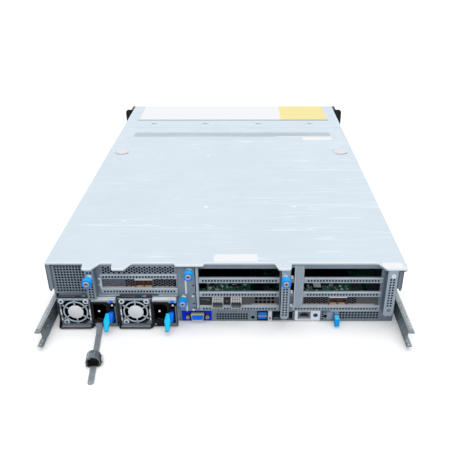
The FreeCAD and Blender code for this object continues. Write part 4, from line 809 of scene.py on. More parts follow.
def build_service_connectors():
    """Small parts seen through the service opening."""
    inside = Piece("service_connectors")
    # a black sheet at the back is painted shade
    for span in ((59.6, 86.6, 14.0, 14.6, 1.4, 14.8, "painted_shade"), (60.5, 68.0, 7.0, 14.0, 1.4, 9.5, "black"),
                 (61.5, 67.0, 6.2, 7.0, 1.6, 2.4, "zinc"), (69.5, 77.0, 5.0, 14.0, 1.4, 4.6, "zinc"),
                 (78.5, 85.5, 7.0, 14.0, 1.4, 9.0, "black"), (85.4, 86.6, 2.6, 7.0, 2.0, 13.5, "zinc"),
                 (79.0, 84.6, 4.6, 7.0, 12.2, 13.4, "zinc")):
        inside.box(*span)
    inside.done("chassis", None, 0.2)


# ------------------------------------------------------------------ thumbscrews
def build_thumbscrews():
    for name, (x, z, face) in knob_places().items():
        piece = Piece("knob_" + name)
        tip = face - KNOB_LENGTH
        back = tip + 9.6
        steps = 48
        r = 5.8
        rings = []
        for along, scale, ribs in ((tip + 0.9, 0.88, 0), (tip + 0.2, 0.93, 0), (tip, 0.965, 0),
                                   (tip + 0.8, 1.0, 1),
                                   (back - 1.0, 1.0, 1), (back - 0.2, 0.96, 0), (back, 0.9, 0)):
            ring = []
            for k in range(steps):
                a = 2 * math.pi * k / steps
                radius = r * scale * (1.0 - 0.03 * ribs * (k % 2))
                ring.append(at(x + radius * math.cos(a), along, z + radius * math.sin(a)))
            rings.append(ring)
        piece.loft(rings, "azure")
        piece.turned((x, tip, z), "y", [(5.7, 0.35), (5.55, -0.05), (3.9, -0.05), (3.7, 0.9)], "azure_deep",
                     40)
        piece.turned((x, tip, z), "y", [(3.6, 1.0), (3.6, 0.15), (3.2, -0.1), (2.2, -0.1)], "warm_steel", 32)
        piece.box(x - 2.5, x + 2.5, tip - 0.12, tip + 0.4, z - 0.5, z + 0.5, "black")
        piece.box(x - 0.5, x + 0.5, tip - 0.12, tip + 0.4, z - 1.7, z + 1.7, "black")
        piece.turned((x, back, z), "y", [(3.4, -0.2), (3.4, face - back - 1.0), (4.6, face - back - 0.9),
                                         (4.6, face - back)], "bright", 32)
        piece.turned((x, face, z), "y", [(1.75, -0.5), (1.75, 10.6), (1.4, 11.0)], "bright", 20)
        piece.done("thumbscrew_" + name, "thumbscrew_" + name)


# ------------------------------------------------------------------ cards
def jack_cage(piece, x0, x1, z0, z1, d0, d1, material, shine):
    """Two-port jack cage: folded shell, divider, contact blocks, a painted highlight on its top edge and warm
    painted highlights on its lower edges.
    """
    wall = 0.7
    middle = (x0 + x1) / 2
    piece.box(x0, x1, d0, d1, z1 - wall, z1, material)
    piece.box(x0, x1, d0, d1, z0, z0 + wall, material)
    for x in (x0, middle - wall / 2, x1 - wall):
        piece.box(x, x + wall, d0, d1, z0 + wall, z1 - wall, material)
    piece.box(x0, x1, d1 - 8, d1, z0, z1, "black")
    for a, b in ((x0 + wall, middle - wall / 2), (middle + wall / 2, x1 - wall)):
        piece.box(a, b, d0 + 7, d1 - 7, z0 + wall, z0 + wall + 4.2, "copper")
        piece.box(a + 0.6, b - 0.6, d0 + 0.6, d0 + 4, z0 + wall, z0 + wall + 0.6, "warm_highlight")
        piece.box(a, b, d0 + 4, d1 - 8, z1 - wall - 1.6, z1 - wall, "black")
    piece.box(x0 - 0.3, x1 + 0.3, d0 - 0.4, d0 + 1.8, z1 - 0.7, z1 + 0.5, shine)
    piece.box(x0 + 0.2, x1 - 0.2, d0 - 0.3, d0 + 1.0, z0 - 0.2, z0 + 0.7, "warm_highlight")


def card_board(piece, x0, x1, z, d0, seed):
    """Circuit board with rows of small parts, seen through the slots; black blocks over its far part and one
    end are painted shade.
    """
    piece.box(x0, x1, d0, CARD_DEPTH, z, z + 1.6, "pcb")
    maker = random.Random(seed)
    top = z + 1.6
    for d, spread, count in ((13.5, 1.4, 16), (18.5, 2.2, 22), (24.0, 2.6, 16), (30.0, 3.0, 12)):
        for _ in range(count):
            w = maker.choice((1.0, 1.6, 2.2, 3.2))
            h = maker.choice((0.8, 1.2, 1.8))
            x = maker.uniform(x0 + 2, x1 - 5)
            y = d + maker.uniform(-spread, spread)
            piece.box(x, x + w, y, y + h, top, top + maker.uniform(0.5, 1.6),
                      maker.choice(("pale_and_highlight", "dark", "bright", "grey", "pale_and_highlight", "warm_steel")))
    for _ in range(6):
        x = maker.uniform(x0 + 12, x1 - 12)
        d = maker.uniform(20, 30)
        piece.box(x, x + maker.uniform(4, 8), d, d + maker.uniform(4, 7), top, top + 1.3, "dark")
    # painted shade: black blocks over the far part of the board and one end
    piece.box(x0, x1, 38, CARD_DEPTH, top, top + 7.0, "painted_shade")
    piece.box(x0, x0 + 8.5, 19, 38, top, top + 7.0, "painted_shade")
    piece.box(x1 - 1.0, x1 + 0.05, 8, 38, top - 0.5, top + 0.15, "pcb_edge")


def bracket_plate(piece, x0, x1, z0, z1, holes, material="card_steel"):
    """A card's bracket, just inside the cage's face."""
    piece.sheet(rectangle(x0, x1, z0, z1), holes, SHEET + THIN / 2, THIN, material)
    piece.box(x0, x1, SHEET + 0.6, SHEET + 0.9, z0, z0 + 0.6, material)


def card_cells(x0, x1, slot_foot):
    """Small hexagonal holes across a card's bracket."""
    return honeycomb(x0, x1, slot_foot + 0.4, slot_foot + SLOT_HEIGHT + 0.2, CARD_HEX_RADIUS, CARD_HEX_PITCH)


def build_left_card():
    lo, hi = low("network_card_left"), high("network_card_left")
    z0, z1 = LEFT_SLOT, LEFT_SLOT + SLOT_HEIGHT
    jack = (-111.5, -89.9)
    piece = Piece("left_card")
    holes = [rectangle(jack[0], jack[1], z0 + 0.2, z1 - 0.2)]
    holes += card_cells(-124.0, jack[0] - 0.4, z0)
    holes += card_cells(jack[1] + 0.8, -61.6, z0)
    bracket_plate(piece, lo[0], hi[0], lo[2], hi[2], holes)
    jack_cage(piece, jack[0], jack[1], z0 + 0.3, z1 - 0.6, -0.7, 19.5, "copper", "rim")
    piece.box(hi[0] - 64, hi[0], 2.4, CARD_DEPTH, lo[2], lo[2] + 1.6, "pcb")
    # painted shade behind the bracket's holes and warm painted highlights along the slot's lower edge
    for a, b in ((lo[0] + 0.5, jack[0] - 0.1), (jack[1] + 0.1, hi[0] - 0.1)):
        piece.box(a, b, 2.2, 2.6, lo[2] + 0.1, hi[2] - 0.1, "painted_shade")
    piece.box(-151.5, jack[0] - 0.5, -0.3, 1.2, z0 + 0.02, z0 + 0.9, "warm_highlight")
    piece.box(jack[1] + 0.8, -61.5, 0.5, 1.2, z0 + 0.02, z0 + 0.6, "warm_highlight")
    piece.done("chassis", "network_card_left")


def build_right_card():
    lo, hi = low("network_card_right"), high("network_card_right")
    z0, z1 = FIRST_SLOT, FIRST_SLOT + SLOT_HEIGHT
    jack = (130.0, 151.8)
    piece = Piece("right_card")
    holes = [rectangle(jack[0], jack[1], z0 + 0.2, z1 - 0.2)]
    holes += card_cells(97.6, jack[0] - 0.6, z0)
    holes += card_cells(jack[1] + 0.6, 164.5, z0)
    bracket_plate(piece, lo[0], hi[0], lo[2], hi[2], holes, "card_dark")
    # painted shade behind the bracket's holes
    for a, b in ((lo[0] + 0.5, jack[0] - 0.1), (jack[1] + 0.1, hi[0] - 0.1)):
        piece.box(a, b, 2.0, 2.1, lo[2] + 0.1, hi[2] - 0.1, "painted_shade")
    jack_cage(piece, jack[0], jack[1], z0 + 0.3, z1 - 0.6, -0.7, 19.5, "copper", "rim")
    card_board(piece, lo[0], lo[0] + 64.4, hi[2] - 1.6, 2.1, 11)
    top = hi[2]
    piece.box(110.0, 123.0, 15, 29, top, top + 2.4, "black")
    piece.box(111.8, 121.4, 16.5, 27.5, top + 2.4, top + 2.55, "paper")
    # warm painted highlights along the slot's lower edge
    piece.box(jack[1] + 0.8, 188.0, 0.5, 1.2, z0 + 0.02, z0 + 0.8, "warm_highlight")
    piece.box(97.4, jack[0] - 0.6, 0.5, 1.2, z0 + 0.02, z0 + 0.7, "warm_highlight")
    piece.done("chassis", "network_card_right")


def build_optical_card():
    lo, hi = low("optical_card"), high("optical_card")
    z0, z1 = FIRST_SLOT, FIRST_SLOT + SLOT_HEIGHT
    mouth = depth(lo[1])
    piece = Piece("module_card")
    cages = ((-16.6, -2.8), (6.4, 20.2))
    holes = [rectangle(a, b, z0 + 0.2, z1 - 1.0) for a, b in cages]
    for k in range(5):
        for z in (z0 + 3.6, z0 + 9.0):
            x = 38.6 + 5.2 * k
            holes.append(rounded(x - 1.9, x + 1.9, z - 1.9, z + 1.9, 1.2, 3))
    bracket_plate(piece, lo[0], hi[0], lo[2], hi[2], holes, "card_dark")
    head = z1 - 1.1
    # each cage is painted shade inside, with painted highlights on its latches
    for a, b in cages:
        piece.box(a, b, mouth + 0.1, 40, z0 + 0.25, z0 + 0.95, "warm_steel")
        piece.box(a, b, mouth + 0.1, 40, head - 0.7, head, "warm_steel")
        for x in (a, b - 0.7):
            piece.box(x, x + 0.7, mouth + 0.1, 40, z0 + 0.9, head - 0.6, "warm_steel")
        piece.box(a + 0.7, b - 0.7, 4, 38, z0 + 1, head - 0.7, "painted_shade")
        for k in range(5):
            x = a + 1.2 + k * (b - a - 2.4) / 4
            piece.box(x - 0.75, x + 0.75, mouth + 2.2, 0.6, head, head + 0.35, "pale_and_highlight")
            piece.box(x - 0.5, x + 0.5, mouth, mouth + 1.0, head - 2.0, head - 0.2, "rim")
            piece.box(x - 0.45, x + 0.45, mouth, mouth + 1.2, z0 + 0.3, z0 + 2.6, "zinc_lit")
        piece.box(a + 1.6, b - 1.6, mouth + 3.6, mouth + 4.6, head + 0.3, head + 0.5, "copper")
        piece.box(a + 1.2, b - 1.2, mouth + 2.4, 6, z0 + 2.4, z0 + 3.0, "zinc")
    piece.box(-32.4, -18.2, -0.6, 1.3, z0 + 0.3, z1 - 0.6, "dark")
    piece.box(-31.0, -20.0, -0.8, -0.5, z0 + 8.4, z0 + 9.2, "grey")
    piece.box(-24.0, -20.0, -0.8, -0.5, z0 + 6.4, z0 + 7.0, "grey")
    piece.box(-1.8, 5.4, -0.6, 1.3, z0 + 0.6, z1 - 0.8, "dark")
    piece.box(0.2, 3.4, -1.0, -0.5, z0 + 5.6, z0 + 6.8, "grey")
    # warm painted highlights along the slot's lower edge
    piece.box(-32.0, -18.4, 0.3, 1.2, z0 + 0.05, z0 + 0.7, "warm_highlight")
    piece.box(-1.8, 5.4, 0.3, 1.2, z0 + 0.05, z0 + 0.7, "warm_highlight")
    piece.box(21.4, 64.0, 0.5, 1.2, z0 + 0.05, z0 + 0.8, "warm_highlight")
    piece.box(21.2, 32.6, -0.3, 1.3, z0 + 0.9, z1 - 0.8, "card_dark")
    for x, z in ((22.6, 9.4), (22.6, 5.6), (28.6, 8.6), (28.0, 4.6), (30.2, 5.4)):
        piece.box(x, x + 1.3, -0.5, -0.2, z0 + z - 0.7, z0 + z + 0.7, "card_steel")
    # painted shade behind the vent holes
    piece.box(35.0, 63.4, 2.0, 2.1, z0 + 0.4, z1, "painted_shade")
    card_board(piece, lo[0] + 1.6, lo[0] + 66.0, hi[2] - 1.6, 2.1, 5)
    piece.done("chassis", "optical_card")


# ------------------------------------------------------------------ power supplies
def build_psu(side):
    """Case: fan side with its bore and lip, black inlet side with its lamp and screw."""
    name = "psu_" + side
    lo, hi = low(name + "_housing"), high(name + "_housing")
    x0, x1, z0, z1 = lo[0], hi[0], lo[2], hi[2]
    face, inlet_face = PSU_FACE, INLET_FACE
    back = depth(hi[1])
    fan_x = centre(name + "_fan_rotor")[0]
    fan_z = centre(name + "_housing")[2]
    zone = x0 + 43.0                             # the fan side ends and the inlet side starts
    black_top = z1 - 5.4
    piece = Piece(name + "_case")
    bore = regular(fan_x, fan_z, 18.9, 48)
    piece.sheet(rectangle(x0, zone, z0, z1), [bore], face + 2, 4, "dark", True, 0.3)
    # painted shade inside the fan's bore
    piece.turned((fan_x, face + 4, fan_z), "y", [(19.2, 0), (19.2, 24)], "painted_shade", 48)
    piece.box(x0, x0 + 1, face + 4, back, z0, z1, "zinc")
    piece.box(x0 + 1, x1, 60, back, z0 + 1, z1 - 1, "zinc")
    piece.box(x0, x1, face + 4, back, z1 - 1, z1, "zinc")
    piece.box(x0, x1, face + 4, back, z0, z0 + 1, "zinc")
    # the right wall is drawn in pale rim steel as painted light
    piece.box(x1 - 1, x1, -4, back, z0, z1, "rim")
    piece.box(x0 + 1.2, zone - 0.6, face + 0.3, face + 7.5, z1 - 0.9, z1 + 0.12, "brown_black")
    piece.box(x0 + 4.0, x0 + 22.0, face + 2.2, face + 5.0, z1 + 0.1, z1 + 0.16, "taupe")
    piece.box(x0 + 0.2, zone - 0.4, face - 0.1, face + 0.5, z1 - 0.9, z1 + 0.1, "zinc_lit")
    for k, material in enumerate(("cyan", "paper", "magenta")):
        a = x0 + 28.6 + 2.5 * k
        piece.along_z([(a, face + 1.2), (a + 2.2, face + 1.2), (a + 3.8, face + 5.8), (a + 1.6, face + 5.8)],
                      z1 + 0.1, z1 + 0.22, material)
    lip = face - 8.9
    piece.along_z([(x0 + 2, lip), (zone - 3, lip), (zone - 0.8, lip + 3), (zone - 0.8, face - 1.05),
                   (x0, face - 1.05),
                   (x0, lip + 2)], z0, z0 + 1.0, "black")
    for a in (x0, zone - 1.4):
        piece.along_x([(lip + 1.5, z0), (face, z0), (face, z0 + 9.6), (lip + 1.5, z0 + 2.4)], a, a + 1.2,
                      "black")
    piece.box(x0 + 2.6, zone - 3.4, lip + 1.4, lip + 6.0, z0 + 1.0, z0 + 1.35, "taupe")
    piece.box(x0 + 3.2, zone - 4.0, face - 3.4, face - 1.1, z0 + 1.0, z0 + 3.0, "zinc_side_and_shade")
    right = [front_of(name + "_inlet"),
             rectangle(x0 + 63.9, x0 + 70.2, z0 + 8.0, z0 + 22.6),
             rectangle(x0 + 65.4, x0 + 71.4, z0 + 25.4, z0 + 29.4)]
    piece.sheet(rectangle(zone, x1, z0, black_top), right, inlet_face + 1, 2, "black", True, 0.25)
    piece.box(zone + 0.4, x1 - 0.3, inlet_face + 0.1, inlet_face + 2, black_top, z1 - 0.6, "strip")
    # painted shade: a dark line under the top band
    piece.box(zone + 0.4, x1 - 0.3, inlet_face - 0.1, inlet_face + 0.3, black_top, black_top + 0.8,
              "dark_zinc_and_shade")
    piece.box(zone, x1, inlet_face + 2, inlet_face + 7.5, z0, z0 + 1, "dark")
    piece.box(zone, zone + 0.8, inlet_face + 2, face + 4, z0, z1, "dark")
    # painted light on the right edge and the top, a dark line of painted shade and a warm painted highlight
    piece.box(x1 - 0.8, x1, inlet_face + 2, -4, z0, z1, "zinc_lit")
    piece.box(zone + 0.5, x1 - 0.6, inlet_face + 0.2, -4.6, z1 - 0.8, z1, "pale_and_highlight")
    piece.box(zone + 0.5, x1 - 0.6, -4.4, -3.4, z1 - 0.8, z1 - 0.3, "dark_zinc_and_shade")
    piece.box(zone + 21.0, x1 - 2.4, inlet_face + 1.2, inlet_face + 2.6, z1 - 0.1, z1 + 0.05, "warm_highlight")
    # painted shade behind the cut-outs
    piece.box(x0 + 63.8, x0 + 71.5, inlet_face + 6.6, inlet_face + 7.4, z0 + 7.8, z0 + 30, "painted_shade")
    piece.box(x0 + 63.0, x1 - 0.5, inlet_face - 0.4, inlet_face + 0.4, z0 + 0.4, z0 + 5.0, "grey")
    piece.box(x1 - 2.0, x1 - 0.4, inlet_face - 0.5, inlet_face + 0.3, z0 + 0.4, z0 + 31.0, "zinc_side_and_shade")
    # painted shade round the screw, with a pale painted highlight on its head
    piece.turned((x0 + 69.0, inlet_face, z0 + 32.2), "y", [(3.1, 0.1), (3.1, -0.6), (2.3, -0.8)], "painted_shade", 28)
    piece.turned((x0 + 69.0, inlet_face - 0.8, z0 + 32.2), "y", [(1.3, 0.1), (1.3, -0.1), (0.9, -0.2)],
                 "pale_and_highlight", 20)
    piece.along_y(rounded(x0 + 65.8, x0 + 70.4, z0 + 35.4, z0 + 38.6, 0.5, 2), inlet_face - 0.3, inlet_face,
                  "led_blue")
    piece.box(x0 + 44.6, x0 + 47.0, inlet_face - 0.2, inlet_face, z0 + 1.4, z0 + 4.6, "zinc")
    piece.turned((fan_x, 4, fan_z), "y", [(3.0, 0), (3.0, 16)], "dark", 20)
    piece.turned((x0 + 67.0, -8.5, z0 + 8.0), "z", [(1.2, 0), (1.2, 14.6)], "bright", 20)
    piece.done(name, name + "_housing")


def build_guard(side):
    """Fan guard: square frame, ring, hub, six spokes and three screws."""
    name = "psu_" + side
    face = PSU_FACE
    fan_x = centre(name + "_fan_rotor")[0]
    fan_z = centre(name + "_housing")[2]
    guard = Piece(name + "_guard")
    cut, half, drop = 6.2, 17.4, fan_z - 0.3
    window = [(fan_x + sx * (half - cx), drop + sz * (half - cz)) for sx, sz, cx, cz in
              ((-1, -1, cut, 0), (1, -1, cut, 0), (1, -1, 0, cut), (1, 1, 0, cut),
               (1, 1, cut, 0), (-1, 1, cut, 0), (-1, 1, 0, cut), (-1, -1, 0, cut))]
    outline = [(fan_x - 19.0, fan_z - 19.2), (fan_x + 19.0, fan_z - 19.2), (fan_x + 19.0, fan_z + 19.2),
               (fan_x - 19.0, fan_z + 19.2)]
    guard.sheet(outline, [window], face - 0.45, 0.9, "guard_dark", True, 0.25)
    guard.box(fan_x - 18.4, fan_x + 18.4, face - 0.95, face - 0.1, fan_z + 18.0, fan_z + 19.2, "guard")
    for dx, z_low, z_high in ((-18.3, -4.5, 4.0), (-18.0, -12.5, -8.5), (17.9, -6.0, 4.5),
                              (17.6, -12.5, -8.5)):
        guard.along_y(rounded(fan_x + dx - 0.75, fan_x + dx + 0.75, fan_z + z_low, fan_z + z_high, 0.5, 2),
                      face - 1.0, face - 0.2, "pale_and_highlight")
    guard.sheet(regular(fan_x, fan_z, 15.4, 64), [regular(fan_x, fan_z, 14.1, 64)], face - 0.5, 0.9, "guard",
                True, 0.3)
    guard.turned((fan_x, face, fan_z), "y", [(9.6, -0.1), (9.6, -0.8), (9.2, -1.0)], "hub", 48)
    for angle in (33, 91, 147, 213, 274, 328):
        t = math.radians(angle)
        c, s = math.cos(t), math.sin(t)
        w = 0.75
        spoke = [(fan_x + 8.6 * c - w * s, fan_z + 8.6 * s + w * c),
                 (fan_x + 8.6 * c + w * s, fan_z + 8.6 * s - w * c),
                 (fan_x + 18.6 * c + w * s, fan_z + 18.6 * s - w * c),
                 (fan_x + 18.6 * c - w * s, fan_z + 18.6 * s + w * c)]
        guard.along_y(spoke, face - 0.95, face - 0.15, "guard")
    for dx, dz in ((-16.6, 15.6), (14.2, 15.4), (-13.2, -15.0)):
        x, z = fan_x + dx, fan_z + dz
        guard.turned((x, face, z), "y", [(3.6, -0.05), (3.6, -0.8), (3.0, -1.15), (2.0, -1.15), (1.6, -0.9)],
                     "rim", 28)
        guard.along_y(regular(x, z, 1.75, 6), face - 1.2, face - 0.6, "navy")
    guard.done(name, name + "_fan_guard")


def build_inlet(side):
    name = "psu_" + side
    lo, hi = low(name + "_inlet"), high(name + "_inlet")
    mouth = depth(lo[1])
    cx, _, cz = centre(name + "_inlet")
    w, h, cut = 8.2, 11.9, 4.0
    cavity = [(cx - w, cz - h), (cx + w - cut, cz - h), (cx + w, cz - h + cut), (cx + w, cz + h - cut),
              (cx + w - cut, cz + h), (cx - w, cz + h)]
    piece = Piece(name + "_socket")
    piece.sheet(rounded(lo[0], hi[0], lo[2], hi[2], 1.2, 3), [cavity], mouth + 8.2, 16.3, "black", True, 0.3)
    # painted shade at the back of the cavity and on the pins, and a painted highlight on one pin's tip
    piece.box(lo[0] + 0.5, hi[0] - 0.5, mouth + 15.8, mouth + 18.8, lo[2] + 0.5, hi[2] - 0.5, "painted_shade")
    for dx, dz in ((-2, -7), (-2, 7)):
        piece.box(cx + dx - 2, cx + dx + 2, mouth + 5.5, mouth + 16, cz + dz - 1, cz + dz + 1, "dark_zinc_and_shade")
    piece.box(cx + 0.2, cx + 4.2, mouth + 4.0, mouth + 16, cz - 1, cz + 1, "dark_zinc_and_shade")
    piece.turned((cx - 1.6, mouth + 1.2, cz + 1.0), "y", [(1.1, 0.6), (1.7, 0.3), (1.4, -0.3), (0.7, -0.5)],
                 "pale_and_highlight", 16)
    piece.along_y([(cx - 5.5, cz - 8.6), (cx - 4.9, cz - 9.6), (cx + 3.6, cz - 11.6), (cx + 4.2, cz - 10.8)],
                  mouth + 0.2,
                  mouth + 1.0, "dark")
    piece.done(name, name + "_inlet")


def build_latch(side):
    """Azure tab: sloped blade in front, deep blue web and pivot barrel behind it. The cyan blade is a lit
    copy and the deep blue parts are shaded copies of the one blue plastic: painted light and painted shade.
    """
    name = "psu_" + side
    x = low(name + "_housing")[0] + 67.0
    z0 = low(name + "_housing")[2] + 8.4
    top = z0 + 13.8
    tip = depth(low(name + "_latch")[1])
    foot = low(name + "_latch")[2]
    root = -14.6
    piece = Piece(name + "_tab")
    piece.turned((x, -8.5, z0), "z", [(2.5, 0.0), (2.5, 13.8)], "deep_blue", 28)
    piece.box(x - 1.4, x + 1.4, root, -10.2, z0, top, "deep_blue")
    piece.loft([[at(x - 3.6, root, top - 0.6), at(x + 2.5, root, top - 0.6), at(x + 2.5, root + 1.6, top),
                 at(x - 3.6, root + 1.6, top)],
                [at(x - 5.0, root - 6.6, z0 + 3.6), at(x + 1.4, root - 6.6, z0 + 3.6),
                 at(x + 1.2, root - 5.0, z0 + 2.2),
                 at(x - 4.6, root - 5.0, z0 + 2.2)]], "deep_blue")

    def section(d, z, left, right, lift):
        return [at(left, d + lift, z - 1.2), at(right, d + lift, z - 1.2), at(right, d + 0.5, z + 1.0),
                at(right - 0.6, d, z + 1.3),
                at(left + 0.6, d, z + 1.3), at(left, d + 0.5, z + 1.0)]

    rings = [section(root - 0.9, top - 1.3, x - 6.6, x - 3.1, 2.4),
             section(root - 1.4, top - 1.9, x - 6.7, x - 2.4, 2.4),
             section(-24.4, 16.6, x - 8.2, x - 0.6, 2.8),
             section(tip + 0.7, foot + 2.2, x - 6.9, x - 2.2, 2.4),
             section(tip + 0.9, foot + 1.2, x - 6.7, x - 2.4, 1.8)]
    piece.loft(rings, "cyan")
    piece.loft([[at(x - 8.35, -24.6, 15.8), at(x - 7.4, -27.2, 15.4), at(x - 7.4, -24.2, 17.0),
                 at(x - 8.25, -23.4, 17.2)],
                [at(x - 7.0, tip + 0.8, foot + 0.9), at(x - 5.6, tip + 0.3, foot + 0.9),
                 at(x - 5.8, tip + 0.6, foot + 2.2),
                 at(x - 7.0, tip + 1.6, foot + 2.2)]], "azure_deep")
    piece.box(x - 5.0, x - 1.0, -23.0, root - 1.0, 14.4, 17.4, "deep_blue")
    piece.done(name + "_latch", name + "_latch", 0.3)


# ------------------------------------------------------------------ rear ports
def build_display_port():
    lo, hi = low("display_port"), high("display_port")
    front = depth(lo[1])
    face = PANEL_SET
    piece = Piece("display_socket")
    a, b, c, d = DISPLAY_PORT
    piece.sheet(rounded(lo[0], hi[0], lo[2], hi[2], 1.0, 3), [], face - 0.6, 1.2, "port_blue", True, 0.2)
    outer = [(a + 1.6, c + 0.3), (b - 1.6, c + 0.3), (b - 0.1, d - 0.8), (b - 0.9, d), (a + 0.9, d),
             (a + 0.1, d - 0.8)]
    inner = [(a + 2.1, c + 0.8), (b - 2.1, c + 0.8), (b - 0.8, d - 1.2), (a + 0.8, d - 1.2)]
    piece.sheet(outer, [inner], (front + face) / 2, face - front, "pale_brass", True, 0.2)
    piece.sheet(rounded(a - 1.2, b + 1.2, c - 0.6, d + 0.6, 1.6, 3), [], face - 1.6, 0.8, "black", True, 0.2)
    piece.along_y(inner, front + 0.7, face - 0.8, "led_blue")
    # painted highlight along the socket's bottom edge
    piece.box(a + 2.2, b - 2.2, front - 0.1, front + 0.6, c + 0.1, c + 0.7, "pale_and_highlight")
    middle = (a + b) / 2
    level = (c + d) / 2
    for row in range(3):
        for k in range(5):
            x = middle + (k - 2) * 2.1 + (0.5 if row == 1 else 0)
            z = level + 1.8 - row * 2.0
            piece.turned((x, front + 0.65, z), "y", [(0.5, -0.02), (0.5, 0.1)], "deep_blue", 8)
    for side in (-1, 1):
        x = middle + side * 12.5
        piece.turned((x, face - 1.2, level), "y", [(3.1, 0.1), (3.1, -0.5)], "black", 24)
        piece.along_y(regular(x, level, 2.6, 6, 0.3), front + 0.3, face - 1.1, "brass")
        piece.turned((x, front + 0.3, level), "y", [(2.1, 0.1), (2.1, -0.3), (1.4, -0.35)], "pale_brass", 20)
        piece.turned((x, front - 0.02, level), "y", [(1.0, 0.05), (1.0, -0.05)], "brown_black", 16)
    piece.done("chassis", "display_port")


def build_usb():
    lo, hi = low("usb_ports"), high("usb_ports")
    x0, x1, z0, z1 = lo[0], hi[0], lo[2], hi[2]
    front, back = depth(lo[1]), depth(hi[1])
    tall = (z1 - z0 - 2.4) / 2
    piece = Piece("usb_stack")
    holes = [rounded(x0 + 0.9, x1 - 0.9, z0 + 0.9 + k * (tall + 0.6), z0 + 0.5 + tall + k * (tall + 0.6), 0.5,
                     2)
             for k in range(2)]
    piece.sheet(rounded(x0, x1, z0, z1, 0.4, 2), holes, front + 3.0, 6.0, "black", True, 0.2)
    piece.box(x0 + 0.1, x1 - 0.1, front + 6, back, z0 + 0.1, z1 - 0.1, "zinc")
    middle = z0 + 0.7 + tall
    piece.box(x0 + 0.8, x1 - 0.8, front - 0.1, front + 0.6, middle - 1.1, middle + 1.3, "taupe")
    for k in range(2):
        foot = z0 + 0.9 + k * (tall + 0.6)
        piece.box(x0 + 1.3, x1 - 1.3, front + 0.5, front + 7, foot + 1.0, foot + tall - 1.7, "usb_blue")
    piece.done("chassis", "usb_ports")


def build_lan():
    lo, hi = low("lan_port"), high("lan_port")
    x0, x1, z0, z1 = lo[0], hi[0], lo[2], hi[2]
    front, back = depth(lo[1]), depth(hi[1])
    well = [(x0 + 2.0, z0 + 2.0), (x1 - 2.0, z0 + 2.0), (x1 - 2.0, z1 - 3.4), (x1 - 4.4, z1 - 3.4),
            (x1 - 4.4, z1 - 1.6),
            (x0 + 4.4, z1 - 1.6), (x0 + 4.4, z1 - 3.4), (x0 + 2.0, z1 - 3.4)]
    piece = Piece("lan_jack")
    piece.sheet(rectangle(x0, x1, z0, z1), [well], (front + back) / 2 - 1.5, back - front - 3, "zinc_side_and_shade",
                True, 0.2)
    # painted shade at the back of the jack
    piece.box(x0, x1, back - 3.2, back, z0, z1, "painted_shade")
    piece.box(x0 + 2.2, x1 - 2.2, front + 0.6, front + 2.0, z0 + 2.0, z0 + 2.8, "warm_steel")
    for k in range(8):
        x = (x0 + x1) / 2 + (k - 3.5) * 1.05
        piece.box(x - 0.25, x + 0.25, front + 3, back - 4, z0 + 2.0, z0 + 2.5, "brass")
    # painted light on the lower edge
    piece.box(x0 + 0.4, x1 - 0.4, front - 0.2, front + 0.4, z0 + 0.4, z0 + 1.8, "zinc_lit")
    piece.done("chassis", "lan_port")


def build_id_button():
    lo, hi = low("id_button"), high("id_button")
    x, _, z = centre("id_button")
    front, back = depth(lo[1]), depth(hi[1])
    piece = Piece("id_push")
    piece.turned((x, front, z), "y", [(1.9, 0.0), (2.45, 0.3), (2.55, 2.1)], "navy", 28)
    piece.turned((x, front - 0.02, z), "y", [(1.2, 0.1), (1.2, 0.0), (0.8, 0.0)], "port_blue", 20)
    piece.box(lo[0], hi[0], back - 1.2, back, lo[2], hi[2], "dark")
    piece.done("id_button", "id_button")


def build_mezzanine():
    lo, hi = low("mezzanine_module"), high("mezzanine_module")
    x0, x1, z1 = lo[0], hi[0], hi[2]
    face = 0.9
    pivot_x = centre("mezzanine_lever")[0]
    piece = Piece("mezzanine_face")
    holes = grid(pivot_x + 5.0, x1 - 1.8, 5.6, 14.0, 3.9, 2.9)
    holes += grid(x0 + 1.9, x0 + 2.0, 3.6, 14.4, 3.4, 2.4)
    holes.append(regular(126.8, 8.0, 2.3, 24))
    holes.append(square(x0 + 5.6, 14.0, 1.9))
    piece.sheet(rectangle(x0, x1, 1.5, z1), holes, face + THIN / 2, THIN, "zinc", True, 0.1)
    # painted shade behind the vent holes
    piece.box(x0 + 0.3, x1 - 0.3, face + 0.7, face + SHEET, 1.8, z1 - 0.3, "painted_shade")
    piece.box(x0 + 1.7, x1 - 1.7, face + SHEET, depth(hi[1]), 1.5, 3.1, "pcb")
    piece.box(x0 + 20, x1 - 12, 40, 80, 3.1, z1 - 1.3, "aluminium")
    piece.box(x0 + 2, pivot_x - 4, 6, 7, 3.2, z1 - 1, "black")
    foot, top = low("mezzanine_lever")[2], high("mezzanine_lever")[2]
    piece.turned((pivot_x, -1.6, foot - 1.0), "z", [(0.9, 0.0), (0.9, top - foot + 2.0)], "bright", 16)
    for z in (foot - 1.0, top + 0.2):
        piece.box(pivot_x - 1.6, pivot_x + 1.6, -3.0, 0.9, z, z + 0.8, "zinc_lit")
    piece.box(pivot_x - 11.0, pivot_x - 4.0, face - 0.15, face, 3.4, z1 - 2.0, "strip")
    piece.done("mezzanine", "mezzanine_module")


